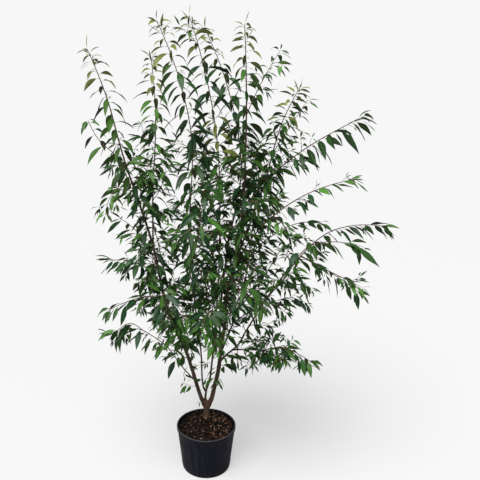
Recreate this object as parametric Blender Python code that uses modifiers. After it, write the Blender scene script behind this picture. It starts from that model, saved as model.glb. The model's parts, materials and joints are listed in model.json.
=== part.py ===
"""A young multi-stem birch bark cherry tree in a round nursery pot.

Metres, +Z up, the front towards -Y. The origin is the centre of the pot's flat underside.
Three stems fork low down from a short trunk. Each limb is a tapering bough, and goes on as
the stem of one mass of foliage: twigs and leaves that grow by a seeded rule and are fused to it.
"""

import math
import random
from collections import namedtuple

import bmesh
import bpy
import numpy as np
from mathutils import Vector

OBJECT_NAME = "birch_bark_cherry_tree"
GAP = 0.0003  # left between neighbouring solids
CUT_GAP = 0.0004  # a cutter's growth, so that its flat sides leave the gap too

# Pot: a turned wall with a thick lip, standing on its flat underside
POT_HEIGHT = 0.212
POT_RIM_RADIUS = 0.140
POT_FOOT_RADIUS = 0.114
POT_WALL = 0.0024
POT_FLOOR = 0.003
POT_FOOT_ROUND = 0.007
LIP_HEIGHT = 0.014
LIP_OVERHANG = 0.0035
POT_STEPS = 34

# Soil: filled to just under the lip and heaped against the trunk
SOIL_DEPTH_BELOW_RIM = 0.021
SOIL_HEAP_TOP = 0.210
SOIL_HEAP_FLAT = 0.036
SOIL_HEAP_SPREAD = 0.060
SOIL_RING_COUNT = 5
SOIL_BUMP = 0.003
SOIL_WALL_GAP = 0.0006

# Trunk: from its flat cut at the soil to the fork
TRUNK_PATH = ((0.0, 0.072, SOIL_HEAP_TOP + GAP), (0.001, 0.072, 0.245), (-0.001, 0.072, 0.292))
TRUNK_FLARE_RADIUS = 0.0235
TRUNK_RADIUS = 0.0155
TRUNK_TOP_RADIUS = 0.0125
TRUNK_FLARE_HEIGHT = 0.020
TRUNK_TOP_ROUND = 0.003
TRUNK_SIDES = 10
TRUNK_RINGS = 9
TRUNK_RING_POWER = 1.6  # rings stand closer together low down, in the flare

# Limbs: where each leaves its parent (a share of the parent's length), the places that it
# bends through and its tip, its radius at the base, the share of it that is bare bough, and
# the length of its longest twigs. A side shoot is a longer twig with its own bends.
Limb = namedtuple("Limb", "name parent share bends radius bare twig shoots")
LIMBS = (
    Limb("left_tall", "trunk", 0.66,
         ((-0.019, 0.069, 0.298), (-0.037, 0.067, 0.353), (-0.066, 0.062, 0.460), (-0.100, 0.054, 0.575),
          (-0.15, 0.04, 0.69), (-0.24, 0.00, 1.11), (-0.35, -0.02, 1.485), (-0.41, -0.03, 1.73),
          (-0.475, -0.03, 1.90)),
         0.0095, 0.36, 0.15, (("hanging", 0.645, ((-0.37, -0.06, 1.34), (-0.42, -0.08, 1.24))),)),
    Limb("right_tall", "trunk", 0.62,
         ((0.023, 0.071, 0.297), (0.036, 0.070, 0.351), (0.058, 0.066, 0.458), (0.070, 0.062, 0.574),
          (0.086, 0.055, 0.692), (0.092, 0.048, 0.818), (0.140, 0.03, 1.06), (0.165, -0.02, 1.585),
          (0.15, -0.05, 1.99)),
         0.0108, 0.38, 0.15, (("side", 0.80, ((0.22, -0.07, 1.77), (0.285, -0.10, 1.885))),)),
    Limb("centre_tall", "trunk", 0.86,
         ((-0.004, 0.072, 0.313), (0.000, 0.072, 0.345), (0.016, 0.072, 0.403), (0.027, 0.071, 0.492),
          (0.036, 0.070, 0.601), (0.06, 0.04, 1.125), (0.04, 0.01, 1.585), (-0.068, 0.00, 2.03)),
         0.0050, 0.30, 0.15, ()),
    Limb("centre_second", "right_tall", 0.17,
         ((0.065, 0.085, 0.69), (0.095, 0.14, 1.005), (0.16, 0.18, 1.425), (0.105, 0.19, 1.735),
          (-0.005, 0.20, 2.01)),
         0.0052, 0.27, 0.15, ()),
    Limb("mid_left", "centre_tall", 0.036,
         ((-0.012, 0.070, 0.362), (-0.018, 0.067, 0.400), (-0.022, 0.062, 0.510), (-0.029, 0.053, 0.608),
          (-0.045, 0.02, 0.755), (-0.07, -0.05, 1.145), (-0.065, -0.09, 1.605), (-0.19, -0.10, 1.995)),
         0.0040, 0.33, 0.15, ()),
    Limb("left_inner", "left_tall", 0.50,
         ((-0.235, 0.05, 1.28), (-0.22, 0.10, 1.665), (-0.235, 0.11, 1.885)),
         0.0038, 0.14, 0.12, ()),
    Limb("right_upper", "right_tall", 0.44,
         ((0.25, 0.07, 1.33), (0.345, 0.11, 1.645), (0.405, 0.12, 1.76)),
         0.0048, 0.18, 0.13, (("twin", 0.62, ((0.365, 0.085, 1.60), (0.43, 0.07, 1.705))),)),
    Limb("right_reach", "right_upper", 0.24,
         ((0.285, 0.02, 1.39), (0.38, -0.03, 1.485), (0.53, -0.11, 1.59), (0.61, -0.14, 1.635)),
         0.0032, 0.14, 0.07, ()),
    Limb("right_mid", "right_tall", 0.38,
         ((0.265, -0.05, 1.21), (0.43, -0.12, 1.34), (0.585, -0.17, 1.395)),
         0.0037, 0.20, 0.11, ()),
    Limb("right_arc", "right_tall", 0.35,
         ((0.29, 0.10, 1.10), (0.43, 0.14, 1.16), (0.54, 0.16, 1.155)),
         0.0034, 0.20, 0.11, ()),
    Limb("right_long", "right_tall", 0.145,
         ((0.108, 0.058, 0.552), (0.145, 0.055, 0.587), (0.186, 0.050, 0.665), (0.365, 0.01, 0.97),
          (0.545, -0.03, 1.16), (0.755, -0.06, 1.185)),
         0.0046, 0.28, 0.13, ()),
    Limb("right_low_arc", "right_long", 0.38,
         ((0.335, -0.08, 0.96), (0.43, -0.17, 1.13), (0.565, -0.23, 1.15)),
         0.0031, 0.16, 0.09, ()),
    Limb("right_fall", "right_long", 0.62,
         ((0.54, 0.05, 0.965), (0.715, 0.10, 0.835)),
         0.0028, 0.14, 0.09, (("drop", 0.45, ((0.62, 0.02, 0.93), (0.70, 0.01, 0.89))),)),
    Limb("right_back", "right_tall", 0.17,
         ((0.175, 0.16, 0.82), (0.225, 0.27, 1.105), (0.25, 0.35, 1.48)),
         0.0044, 0.25, 0.16, ()),
    Limb("low_right", "right_long", 0.085,
         ((0.185, 0.02, 0.585), (0.255, -0.03, 0.605), (0.325, -0.09, 0.645), (0.455, -0.14, 0.60)),
         0.0032, 0.20, 0.12, ()),
    Limb("low_left", "left_tall", 0.085,
         ((-0.101, 0.055, 0.464), (-0.188, 0.03, 0.600), (-0.283, -0.01, 0.691), (-0.342, -0.03, 0.735),
          (-0.395, -0.06, 0.71)),
         0.0028, 0.25, 0.09, ()),
    Limb("left_fall", "left_tall", 0.26,
         ((-0.25, -0.08, 0.88), (-0.33, -0.13, 0.875), (-0.41, -0.16, 0.845)),
         0.0031, 0.18, 0.11, ()),
    Limb("left_mid", "left_tall", 0.39,
         ((-0.29, -0.06, 1.02), (-0.345, -0.09, 1.045), (-0.40, -0.12, 1.05)),
         0.0031, 0.18, 0.12, ()),
    Limb("left_upper", "left_tall", 0.42,
         ((-0.31, 0.10, 1.12), (-0.40, 0.17, 1.175)),
         0.0030, 0.20, 0.12, ()),
    Limb("left_side", "left_tall", 0.60,
         ((-0.385, 0.06, 1.465), (-0.475, 0.10, 1.545), (-0.515, 0.11, 1.62)),
         0.0028, 0.16, 0.08, ()),
    Limb("front_left", "left_tall", 0.17,
         ((-0.14, -0.20, 0.82), (-0.16, -0.42, 1.01)),
         0.0036, 0.22, 0.15, ()),
    Limb("front_centre", "centre_tall", 0.17,
         ((0.00, -0.16, 0.78), (0.01, -0.41, 0.93)),
         0.0032, 0.22, 0.15, ()),
    Limb("front_right", "right_tall", 0.26,
         ((0.15, -0.18, 0.93), (0.18, -0.38, 1.09)),
         0.0036, 0.22, 0.15, ()),
    Limb("front_high", "mid_left", 0.40,
         ((-0.035, -0.22, 1.17), (-0.005, -0.36, 1.38)),
         0.0031, 0.22, 0.14, ()),
    Limb("back_left", "left_tall", 0.20,
         ((-0.21, 0.27, 0.90), (-0.29, 0.45, 1.18)),
         0.0038, 0.22, 0.16, ()),
    Limb("back_right", "right_back", 0.22,
         ((0.27, 0.26, 0.84), (0.40, 0.40, 1.00)),
         0.0036, 0.22, 0.16, ()),
    Limb("back_low", "centre_second", 0.10,
         ((0.03, 0.30, 0.74), (-0.04, 0.48, 0.90)),
         0.0035, 0.22, 0.16, ()),
    Limb("back_high", "centre_second", 0.34,
         ((0.03, 0.34, 1.22), (-0.04, 0.47, 1.47)),
         0.0034, 0.22, 0.16, ()),
)
Axis = namedtuple("Axis", "path bough stem")
Rings = namedtuple("Rings", "shares places")
LIMB_TIP_RADIUS = 0.0016
LIMB_TAPER = 1.0  # power of the length still to go
BOUGH_SIDES = 6
STEM_SIDES = 4
RING_STEP = 0.12
FEWEST_RINGS = 3
FORK_BEND = (0.030, 0.075)  # rings that follow a main stem's quick bend out of the trunk
JOINT_STRAIGHT = 0.008  # straight run on each side of the joint of bough and stem
PATH_POINTS = 121
TWIG_RINGS = 3
SHOOT_RINGS = 6

# Foliage: the rule that every mass grows by
SEED = 41
TWIG_SIDES = 3
TWIG_RADIUS = 0.0021
TWIG_TIP_RADIUS = 0.0013
TWIG_STEP = 0.090
TWIG_TOP_SHARE = 0.70  # no twigs nearer the stem's tip than this
LEAF_STEP = 0.043
TWIG_LEAF_STEP = 0.038
TIP_LEAF_LENGTH = 0.055
LOW_LEAF_LENGTH = 0.100
HIGH_LEAF_LENGTH = 0.115
LOW_LEAF_HEIGHT = 0.75
HIGH_LEAF_HEIGHT = 1.55
LEAF_WIDTH_SHARE = 0.32
LEAF_THICKNESS_SHARE = 0.022
LEAF_WIDEST_SHARE = 0.36
LEAF_SAMPLE_SHARES = (0.10, 0.22, 0.36, 0.50, 0.65, 0.82, 1.0)
TURN = math.radians(137.5)  # from each leaf or twig to the next, round its stem
TRY_TURN = math.radians(51.0)
TRIES = 9
SPACE_MARGIN = 0.004
LEAF_SPACING = 0.010
LIMB_CLEARANCE = 0.0035
SPACE_STEP = 4  # every so many points of a limb's path stand for it in the space test
WELD_DISTANCE = 1e-6

# Colours and surface: base colour, roughness
POT_LOOK = ((0.018, 0.020, 0.024), 0.55)
SOIL_LOOK = ((0.055, 0.032, 0.020), 0.95)
BARK_LOOK = ((0.095, 0.050, 0.034), 0.55)
LEAF_LOOK = ((0.035, 0.110, 0.028), 0.50)


def unit(vector):
    return vector / np.linalg.norm(vector)


def smooth_path(places, count=PATH_POINTS):
    """Evenly spaced points on one smooth curve through the places."""
    places = np.array(places, float)
    chords = np.linalg.norm(np.diff(places, axis=0), axis=1)
    knots = np.concatenate([[0.0], np.cumsum(chords)])
    slopes = np.gradient(places, knots, axis=0, edge_order=2)
    fine = np.linspace(0.0, knots[-1], 4 * count)
    part = np.clip(np.searchsorted(knots, fine, "right") - 1, 0, len(chords) - 1)
    span = chords[part][:, None]
    t = (fine[:, None] - knots[part][:, None]) / span
    curve = (
        (2 * t**3 - 3 * t**2 + 1) * places[part]
        + (t**3 - 2 * t**2 + t) * span * slopes[part]
        + (3 * t**2 - 2 * t**3) * places[part + 1]
        + (t**3 - t**2) * span * slopes[part + 1]
    )
    lengths = np.concatenate([[0.0], np.cumsum(np.linalg.norm(np.diff(curve, axis=0), axis=1))])
    even = np.linspace(0.0, lengths[-1], count)
    return np.stack([np.interp(even, lengths, curve[:, axis]) for axis in range(3)], axis=1)


def at_share(path, share):
    """The point at a share of the path's length."""
    place = np.asarray(share) * (len(path) - 1)
    steps = np.arange(len(path))
    return np.stack([np.interp(place, steps, path[:, axis]) for axis in range(3)], axis=-1)


def direction_at(path, share):
    return unit(at_share(path, min(share + 0.01, 1.0)) - at_share(path, max(share - 0.01, 0.0)))


def path_length(path):
    return float(np.linalg.norm(np.diff(path, axis=0), axis=1).sum())


def ring_shares(length, first, last, bend=()):
    """Shares of a limb where its tube has rings, with a short straight run at each end."""
    straight = JOINT_STRAIGHT / length
    count = max(round((last - first) * length / RING_STEP), FEWEST_RINGS)
    inner = np.linspace(first + straight, last - straight, count)
    near = [along / length for along in bend]
    if near:
        inner = np.concatenate([near, inner[inner > near[-1] + straight]])
    return np.concatenate([[first], inner, [last]])


def on_facets(path, corners, shares):
    """Points at these shares, with straight runs between the path's corners, as on a tube."""
    places = at_share(path, corners)
    return np.stack([np.interp(shares, corners, places[:, axis]) for axis in range(3)], axis=1)


def limb_axes():
    """Each limb's axis, from the axis of its parent to its tip, by name."""
    axes = {"trunk": Axis(smooth_path(TRUNK_PATH), None, None)}
    even = np.linspace(0.0, 1.0, PATH_POINTS)
    for limb in LIMBS:
        start = at_share(axes[limb.parent].path, limb.share)
        path = smooth_path((start, *limb.bends))
        length = path_length(path)
        bend = FORK_BEND if limb.parent == "trunk" else ()
        bough_shares = ring_shares(length, 0.0, limb.bare, bend)
        stem_shares = ring_shares(length, limb.bare + GAP / length, 1.0)
        corners = np.concatenate([bough_shares[:-1], stem_shares[1:]])
        bough = Rings(bough_shares, on_facets(path, corners, bough_shares))
        stem = Rings(stem_shares, on_facets(path, corners, stem_shares))
        axes[limb.name] = Axis(on_facets(path, corners, even), bough, stem)
    return axes


def limb_radius(limb, share):
    return LIMB_TIP_RADIUS + (limb.radius - LIMB_TIP_RADIUS) * (1.0 - share) ** LIMB_TAPER


def trunk_radius(share):
    """The trunk's radius: its root flare dies away upwards, and it narrows to the fork."""
    height = share * (TRUNK_PATH[-1][2] - TRUNK_PATH[0][2])
    flare = (TRUNK_FLARE_RADIUS - TRUNK_RADIUS) * math.exp(-height / TRUNK_FLARE_HEIGHT * 2.2)
    return TRUNK_RADIUS + flare - (TRUNK_RADIUS - TRUNK_TOP_RADIUS) * share


def side_and_up(direction):
    """Two unit vectors square to the direction, the first one level."""
    side = np.cross(direction, (0.0, 0.0, 1.0))
    if np.linalg.norm(side) < 0.1:
        side = np.cross(direction, (0.0, 1.0, 0.0))
    side = unit(side)
    return side, np.cross(side, direction)


def outward(direction, angle):
    side, up = side_and_up(direction)
    return side * math.cos(angle) + up * math.sin(angle)


class Space:
    """The space of each limb: the points nearer to its own axis than to any other axis."""

    def __init__(self, axes):
        shares = np.linspace(0.0, 1.0, PATH_POINTS)[::SPACE_STEP]
        self.points = []
        self.radii = []
        self.owners = []
        self.bare = []
        for number, limb in enumerate(LIMBS):
            path = axes[limb.name].path
            for share in shares:
                self.add(at_share(path, share), limb_radius(limb, share), number, share < limb.bare)
            for _, start, bends in limb.shoots:
                shoot = shoot_path(path, start, bends)
                for share in shares[::2]:
                    self.add(at_share(shoot, share), TWIG_RADIUS, number, False)
        for share in shares[::2]:
            self.add(at_share(axes["trunk"].path, share), trunk_radius(share), -1, True)
        self.points = np.array(self.points)
        self.radii = np.array(self.radii)
        self.owners = np.array(self.owners)
        self.bare = np.array(self.bare)

    def add(self, point, radius, owner, bare):
        self.points.append(point)
        self.radii.append(radius)
        self.owners.append(owner)
        self.bare.append(bare)

    def holds(self, places, number):
        """Whether the places are all in this limb's space, clear of every limb but its own stem."""
        apart = np.linalg.norm(np.asarray(places)[:, None, :] - self.points[None, :, :], axis=2)
        own = self.owners == number
        nearest_own = apart[:, own].min(axis=1)
        nearest_other = apart[:, ~own].min(axis=1)
        others = ~own | self.bare
        surface = (apart[:, others] - self.radii[others]).min(axis=1)
        return bool((nearest_own + SPACE_MARGIN < nearest_other).all() and (surface > LIMB_CLEARANCE).all())


def twig_path(places, rings=TWIG_RINGS):
    corners = np.linspace(0.0, 1.0, rings)
    return on_facets(smooth_path(places), corners, np.linspace(0.0, 1.0, PATH_POINTS))


def shoot_path(parent_path, start, bends):
    return twig_path((at_share(parent_path, start), *bends), SHOOT_RINGS)


def leaf_length(height):
    high = (height - LOW_LEAF_HEIGHT) / (HIGH_LEAF_HEIGHT - LOW_LEAF_HEIGHT)
    high = min(max(high, 0.0), 1.0)
    return LOW_LEAF_LENGTH + (HIGH_LEAF_LENGTH - LOW_LEAF_LENGTH) * high


def leaf_frame(direction, out, roll):
    """The leaf's side and face directions: its face looks up and away from the stem, then rolls."""
    face = out * 0.35 + np.array((0.0, 0.0, 1.0))
    face = face - direction * face.dot(direction)
    if np.linalg.norm(face) < 0.1:
        face = out - direction * out.dot(direction)
    face = unit(face)
    side = np.cross(face, direction)
    return side * math.cos(roll) + face * math.sin(roll), face * math.cos(roll) - side * math.sin(roll)


def leaf_samples(root, direction, side, length):
    """Points of a leaf that stand for it in the space test, from near its root to its tip."""
    samples = []
    for share in LEAF_SAMPLE_SHARES:
        width = min(share / LEAF_WIDEST_SHARE, (1.0 - share) / (1.0 - LEAF_WIDEST_SHARE))
        middle = root + direction * length * share
        edge = side * 0.5 * LEAF_WIDTH_SHARE * length * width
        samples.extend((middle, middle + edge, middle - edge))
    return samples


class Mass:
    """One mass of foliage: the tubes and leaves that grow from one stem, as lists of their sizes."""

    def __init__(self, number, path, space):
        self.number = number
        self.limb = LIMBS[number]
        self.path = path
        self.space = space
        self.random = random.Random(SEED + number)
        self.twigs = []
        self.leaves = []
        self.taken = []

    def is_free(self, places):
        """Whether the places are in the mass's space, and apart from its earlier leaves and twigs."""
        if self.taken:
            apart = np.linalg.norm(np.array(self.taken)[:, None, :] - np.asarray(places)[None, :, :], axis=2)
            if apart.min() < LEAF_SPACING:
                return False
        return self.space.holds(places, self.number)

    def add_leaf(self, stem, share, angle, spread, droop, roll, length):
        """A leaf from the stem at this share: the first of a few turns that keeps to the space."""
        root = at_share(stem, share)
        along = direction_at(stem, share)
        for turn in range(TRIES):
            out = outward(along, angle + turn * TRY_TURN)
            direction = unit(along * (1.0 - spread) + out * spread + np.array((0.0, 0.0, -droop)))
            side, face = leaf_frame(direction, out, roll)
            samples = leaf_samples(root, direction, side, length)
            if self.is_free(samples):
                self.leaves.append((root, direction, side, face, length))
                self.taken.extend(samples[6:])
                return

    def leaf_run(self, stem, first, step):
        """Leaves along a stem or twig, each turned from the last, and one at its tip."""
        total = path_length(stem)
        count = max(int((1.0 - first) * total / step), 1)
        angle = self.random.uniform(0.0, 2 * math.pi)
        for place in range(count):
            share = first + (1.0 - first) * (place + 0.35) / count
            height = at_share(stem, share)[2]
            shortened = 1.0 - 0.45 * max(share - 0.75, 0) * 4
            length = leaf_length(height) * self.random.uniform(0.85, 1.12) * shortened
            spread = self.random.uniform(0.65, 0.85)
            droop = self.random.uniform(0.80, 1.80) * (1.0 - 0.75 * share**2)
            roll = self.random.uniform(-1.3, 1.3)
            self.add_leaf(stem, share, angle, spread, droop, roll, length)
            angle += TURN
        self.add_leaf(stem, 0.995, angle, 0.15, 0.10, 0.6, TIP_LEAF_LENGTH)

    def add_twig(self, stem, share, angle, length):
        root = at_share(stem, share)
        along = direction_at(stem, share)
        for turn in range(TRIES):
            out = outward(along, angle + turn * TRY_TURN)
            middle = root + unit(along * 0.55 + out * 0.8) * length * 0.5
            tip = middle + unit(along * 0.35 + out * 0.8 + np.array((0.0, 0.0, -0.25))) * length * 0.5
            twig = twig_path((root, middle, tip))
            samples = at_share(twig, np.array((0.35, 0.6, 0.8, 1.0)))
            if self.is_free(samples):
                self.twigs.append((twig, TWIG_RINGS))
                self.taken.extend(samples[:3])
                self.leaf_run(twig, 0.30, TWIG_LEAF_STEP)
                return

    def grow(self):
        bare = self.limb.bare
        total = path_length(self.path)
        stem_length = (1.0 - bare) * total
        angle = self.random.uniform(0.0, 2 * math.pi)
        count = int(stem_length * TWIG_TOP_SHARE / TWIG_STEP)
        for place in range(count):
            along = (place + 0.5) / count * TWIG_TOP_SHARE
            length = self.limb.twig * (1.0 - 0.45 * along) * self.random.uniform(0.8, 1.15)
            self.add_twig(self.path, bare + (1.0 - bare) * along, angle, length)
            angle += TURN
        for _, start, bends in self.limb.shoots:
            shoot = shoot_path(self.path, start, bends)
            self.twigs.append((shoot, SHOOT_RINGS))
            self.leaf_run(shoot, 0.12, TWIG_LEAF_STEP)
        self.leaf_run(self.path, bare + (1.0 - bare) * 0.05, LEAF_STEP)


def material(name, look):
    colour, roughness = look
    made = bpy.data.materials.new(name)
    made.use_nodes = True
    shader = made.node_tree.nodes["Principled BSDF"]
    shader.inputs["Base Color"].default_value = (*colour, 1.0)
    shader.inputs["Roughness"].default_value = roughness
    shader.inputs["Metallic"].default_value = 0.0
    return made


def new_collection(name):
    made = bpy.data.collections.new(name)
    bpy.context.scene.collection.children.link(made)
    return made


def object_from(mesh, name, collection, look=None):
    made = bpy.data.objects.new(name, mesh)
    collection.objects.link(made)
    if look:
        mesh.materials.clear()
        mesh.materials.append(look)
    return made


def evaluated_mesh(thing):
    """The mesh that an object's curve or modifiers make, welded and facing out."""
    bpy.context.view_layer.update()
    graph = bpy.context.evaluated_depsgraph_get()
    mesh = bpy.data.meshes.new_from_object(thing.evaluated_get(graph))
    shape = bmesh.new()
    shape.from_mesh(mesh)
    bmesh.ops.remove_doubles(shape, verts=shape.verts, dist=WELD_DISTANCE)
    bmesh.ops.recalc_face_normals(shape, faces=shape.faces)
    shape.to_mesh(mesh)
    shape.free()
    return mesh


def remove_object(thing):
    data = thing.data
    bpy.data.objects.remove(thing)
    if isinstance(data, bpy.types.Mesh):
        bpy.data.meshes.remove(data)
    else:
        bpy.data.curves.remove(data)


def section(sides, guides):
    """A regular polygon one metre in radius, which a tube's point radii scale down."""
    curve = bpy.data.curves.new(f"section_{sides}", "CURVE")
    spline = curve.splines.new("POLY")
    spline.points.add(sides - 1)
    for number, point in enumerate(spline.points):
        angle = 2 * math.pi * number / sides
        point.co = (math.cos(angle), math.sin(angle), 0.0, 1.0)
    spline.use_cyclic_u = True
    return object_from(curve, curve.name, guides)


def tube_mesh(path, radii, outline, guides):
    """A tapering tube along the path, with flat ends."""
    curve = bpy.data.curves.new("tube", "CURVE")
    curve.dimensions = "3D"
    curve.bevel_mode = "OBJECT"
    curve.bevel_object = outline
    curve.use_fill_caps = True
    spline = curve.splines.new("POLY")
    spline.points.add(len(path) - 1)
    for point, place, radius in zip(spline.points, path, radii):
        point.co = (*place, 1.0)
        point.radius = radius
    holder = object_from(curve, "tube", guides)
    mesh = evaluated_mesh(holder)
    remove_object(holder)
    return mesh


def limb_tube(limb, rings, outline, guides, grow=0.0):
    """A limb's tube through its rings. A cutter grows by the gap, sideways and at its ends."""
    places = rings.places.copy()
    radii = np.array([limb_radius(limb, share) for share in rings.shares]) + grow
    places[0] -= unit(places[1] - places[0]) * grow
    places[-1] += unit(places[-1] - places[-2]) * grow
    return tube_mesh(places, radii, outline, guides)


def trunk_tube(path, outline, guides, grow=0.0):
    shares = np.linspace(0.0, 1.0, TRUNK_RINGS) ** TRUNK_RING_POWER
    places = at_share(path, shares)
    places[1, :2] = places[0, :2]  # the flat cut is level
    places[-1] += (0.0, 0.0, grow)
    radii = [trunk_radius(share) + grow for share in shares]
    radii[-1] -= TRUNK_TOP_ROUND
    return tube_mesh(places, radii, outline, guides)


def boolean(thing, operation, solver="EXACT", other=None, collection=None):
    change = thing.modifiers.new(operation.lower(), "BOOLEAN")
    change.operation = operation
    change.solver = solver
    if collection:
        change.operand_type = "COLLECTION"
        change.collection = collection
    else:
        change.object = other


def apply_modifiers(thing):
    mesh = evaluated_mesh(thing)
    old = thing.data
    thing.modifiers.clear()
    thing.data = mesh
    bpy.data.meshes.remove(old)


def keep_largest_body(thing):
    """Drops loose scraps and the walls of sealed hollows: only the outermost body stays."""
    shape = bmesh.new()
    shape.from_mesh(thing.data)
    unseen = set(shape.faces)
    bodies = []
    while unseen:
        body = {unseen.pop()}
        front = body
        while front:
            near = {face for old in front for edge in old.edges for face in edge.link_faces}
            front = near - body
            body = body | front
        unseen -= body
        bodies.append(body)
    bodies.sort(key=body_size)
    scraps = [face for body in bodies[:-1] for face in body]
    bmesh.ops.delete(shape, geom=scraps, context="FACES")
    bmesh.ops.recalc_face_normals(shape, faces=shape.faces)
    shape.to_mesh(thing.data)
    shape.free()


def body_size(body):
    places = np.array([vert.co for face in body for vert in face.verts])
    return float(np.linalg.norm(places.max(axis=0) - places.min(axis=0)))


def is_closed(thing):
    shape = bmesh.new()
    shape.from_mesh(thing.data)
    closed = len(shape.faces) > 0 and all(len(edge.link_faces) == 2 for edge in shape.edges)
    volume = shape.calc_volume(signed=True)
    shape.free()
    return closed and volume > 0.0


def leaf_mesh(leaf):
    """A leaf of eight faces: a thin double pyramid, widest a third of the way to its tip."""
    root, direction, side, face, length = leaf
    shape = bmesh.new()
    bmesh.ops.create_uvsphere(shape, u_segments=4, v_segments=2, radius=1.0)
    for vert in shape.verts:
        sideways, through, along = vert.co
        share = LEAF_WIDEST_SHARE if abs(along) < 0.5 else (along + 1.0) / 2.0
        place = (
            root
            + direction * share * length
            + side * sideways * LEAF_WIDTH_SHARE * length / 2.0
            + face * through * LEAF_THICKNESS_SHARE * length / 2.0
        )
        vert.co = Vector(place)
    bmesh.ops.recalc_face_normals(shape, faces=shape.faces)
    mesh = bpy.data.meshes.new("leaf")
    shape.to_mesh(mesh)
    shape.free()
    return mesh


def twig_mesh(twig, outline, guides):
    path, rings = twig
    places = at_share(path, np.linspace(0.0, 1.0, rings))
    radii = np.linspace(TWIG_RADIUS, TWIG_TIP_RADIUS, rings)
    return tube_mesh(places, radii, outline, guides)


def fuse_mass(mass, rings, outlines, guides, parts, look):
    """The mass as one body. Where a union fails, MANIFOLD is tried, and then fewer leaves."""
    name = f"{mass.limb.name}_leaves"
    stem = limb_tube(mass.limb, rings, outlines["stem"], guides)
    leaves = list(mass.leaves)
    while True:
        for solver in ("EXACT", "MANIFOLD"):
            fusing = new_collection("fusing")
            for twig in mass.twigs:
                object_from(twig_mesh(twig, outlines["twig"], guides), "twig", fusing)
            for leaf in leaves:
                object_from(leaf_mesh(leaf), "leaf", fusing)
            made = object_from(stem.copy(), name, parts)
            boolean(made, "UNION", solver, collection=fusing)
            apply_modifiers(made)
            keep_largest_body(made)
            for thing in list(fusing.objects):
                remove_object(thing)
            bpy.data.collections.remove(fusing)
            if is_closed(made):
                made.data.materials.clear()
                made.data.materials.append(look)
                bpy.data.meshes.remove(stem)
                return made
            remove_object(made)
        leaves = leaves[::2]


def inner_radius(height):
    """The radius of the pot's inside at a height above its underside."""
    foot = POT_FOOT_RADIUS - POT_WALL
    top = POT_RIM_RADIUS - LIP_OVERHANG - POT_WALL
    return foot + (top - foot) * (height - POT_FOOT_ROUND) / (POT_HEIGHT - POT_FOOT_ROUND)


def make_pot(parts, look):
    """The pot's wall and floor, turned from one profile that runs down its outer side."""
    rim = POT_RIM_RADIUS
    wall_top = rim - LIP_OVERHANG
    lip_foot = POT_HEIGHT - LIP_HEIGHT
    corner = POT_FOOT_RADIUS - POT_FOOT_ROUND
    profile = [
        (inner_radius(POT_HEIGHT), POT_HEIGHT - 0.001),
        (rim - LIP_OVERHANG * 0.6, POT_HEIGHT),
        (rim, POT_HEIGHT - 0.002),
        (rim - 0.0004, lip_foot + 0.002),
        (wall_top, lip_foot),
        (POT_FOOT_RADIUS + 0.0004, POT_FOOT_ROUND),
        (corner + POT_FOOT_ROUND * 0.72, POT_FOOT_ROUND * 0.30),
        (corner, 0.0),
        (0.0, 0.0),
        (0.0, POT_FLOOR),
        (inner_radius(POT_FOOT_ROUND) - 0.004, POT_FLOOR),
        (inner_radius(POT_FOOT_ROUND), POT_FOOT_ROUND),
    ]
    return turned("pot", profile, parts, look)


def turned(name, profile, parts, look):
    """A closed profile, in radius and height, turned round the Z axis."""
    mesh = bpy.data.meshes.new(name)
    shape = bmesh.new()
    verts = [shape.verts.new((radius, 0.0, height)) for radius, height in profile]
    for vert, other in zip(verts, verts[1:] + verts[:1]):
        on_axis = vert.co.x < 1e-6 and other.co.x < 1e-6
        if not on_axis:
            shape.edges.new((vert, other))
    shape.to_mesh(mesh)
    shape.free()
    made = object_from(mesh, name, parts, look)
    screw = made.modifiers.new("turn", "SCREW")
    screw.steps = POT_STEPS
    screw.render_steps = POT_STEPS
    screw.use_merge_vertices = True
    screw.merge_threshold = WELD_DISTANCE
    apply_modifiers(made)
    made.data.materials.clear()
    made.data.materials.append(look)
    return made


def soil_height(x, y, rng):
    """The soil's top: level near the wall, with a heap that is flat against the trunk's foot."""
    level = POT_HEIGHT - SOIL_DEPTH_BELOW_RIM
    apart = math.hypot(x - TRUNK_PATH[0][0], y - TRUNK_PATH[0][1])
    if apart < SOIL_HEAP_FLAT:
        return SOIL_HEAP_TOP
    fall = math.exp(-(((apart - SOIL_HEAP_FLAT) / SOIL_HEAP_SPREAD) ** 2))
    bump = rng.uniform(-SOIL_BUMP, 0.0)
    return level + (SOIL_HEAP_TOP - level) * fall + bump


def make_soil(parts, look):
    """A disc of soil that fills the pot to the wall, its top moved up to the heap."""
    level = POT_HEIGHT - SOIL_DEPTH_BELOW_RIM
    foot = POT_FOOT_ROUND
    foot_radius = inner_radius(foot) - SOIL_WALL_GAP
    top_radius = inner_radius(level) - SOIL_WALL_GAP
    rings = [(top_radius * (1.0 - step / SOIL_RING_COUNT), level) for step in range(SOIL_RING_COUNT)]
    profile = [(0.0, level), *reversed(rings), (foot_radius, foot), (0.0, foot)]
    made = turned("soil", profile, parts, look)
    rng = random.Random(SEED)
    for vert in made.data.vertices:
        inside = math.hypot(vert.co.x, vert.co.y) < top_radius - 0.001
        if vert.co.z > level - 0.001 and inside:
            vert.co.z = soil_height(vert.co.x, vert.co.y, rng)
    return made


def near_limbs(limb, axes, made):
    """The limbs made before this one that come within reach of its bough."""
    shares = np.linspace(0.0, limb.bare, 25)
    places = at_share(axes[limb.name].path, shares)
    radii = np.array([limb_radius(limb, share) for share in shares])
    found = []
    for other in made:
        other_shares = np.linspace(0.0, 1.0, PATH_POINTS)
        other_path = axes[other.name].path
        apart = np.linalg.norm(places[:, None, :] - other_path[None, :, :], axis=2)
        other_radii = np.array([limb_radius(other, share) for share in other_shares])
        if (apart < radii[:, None] + other_radii[None, :] + 2 * GAP).any():
            found.append(other)
    return found


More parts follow.
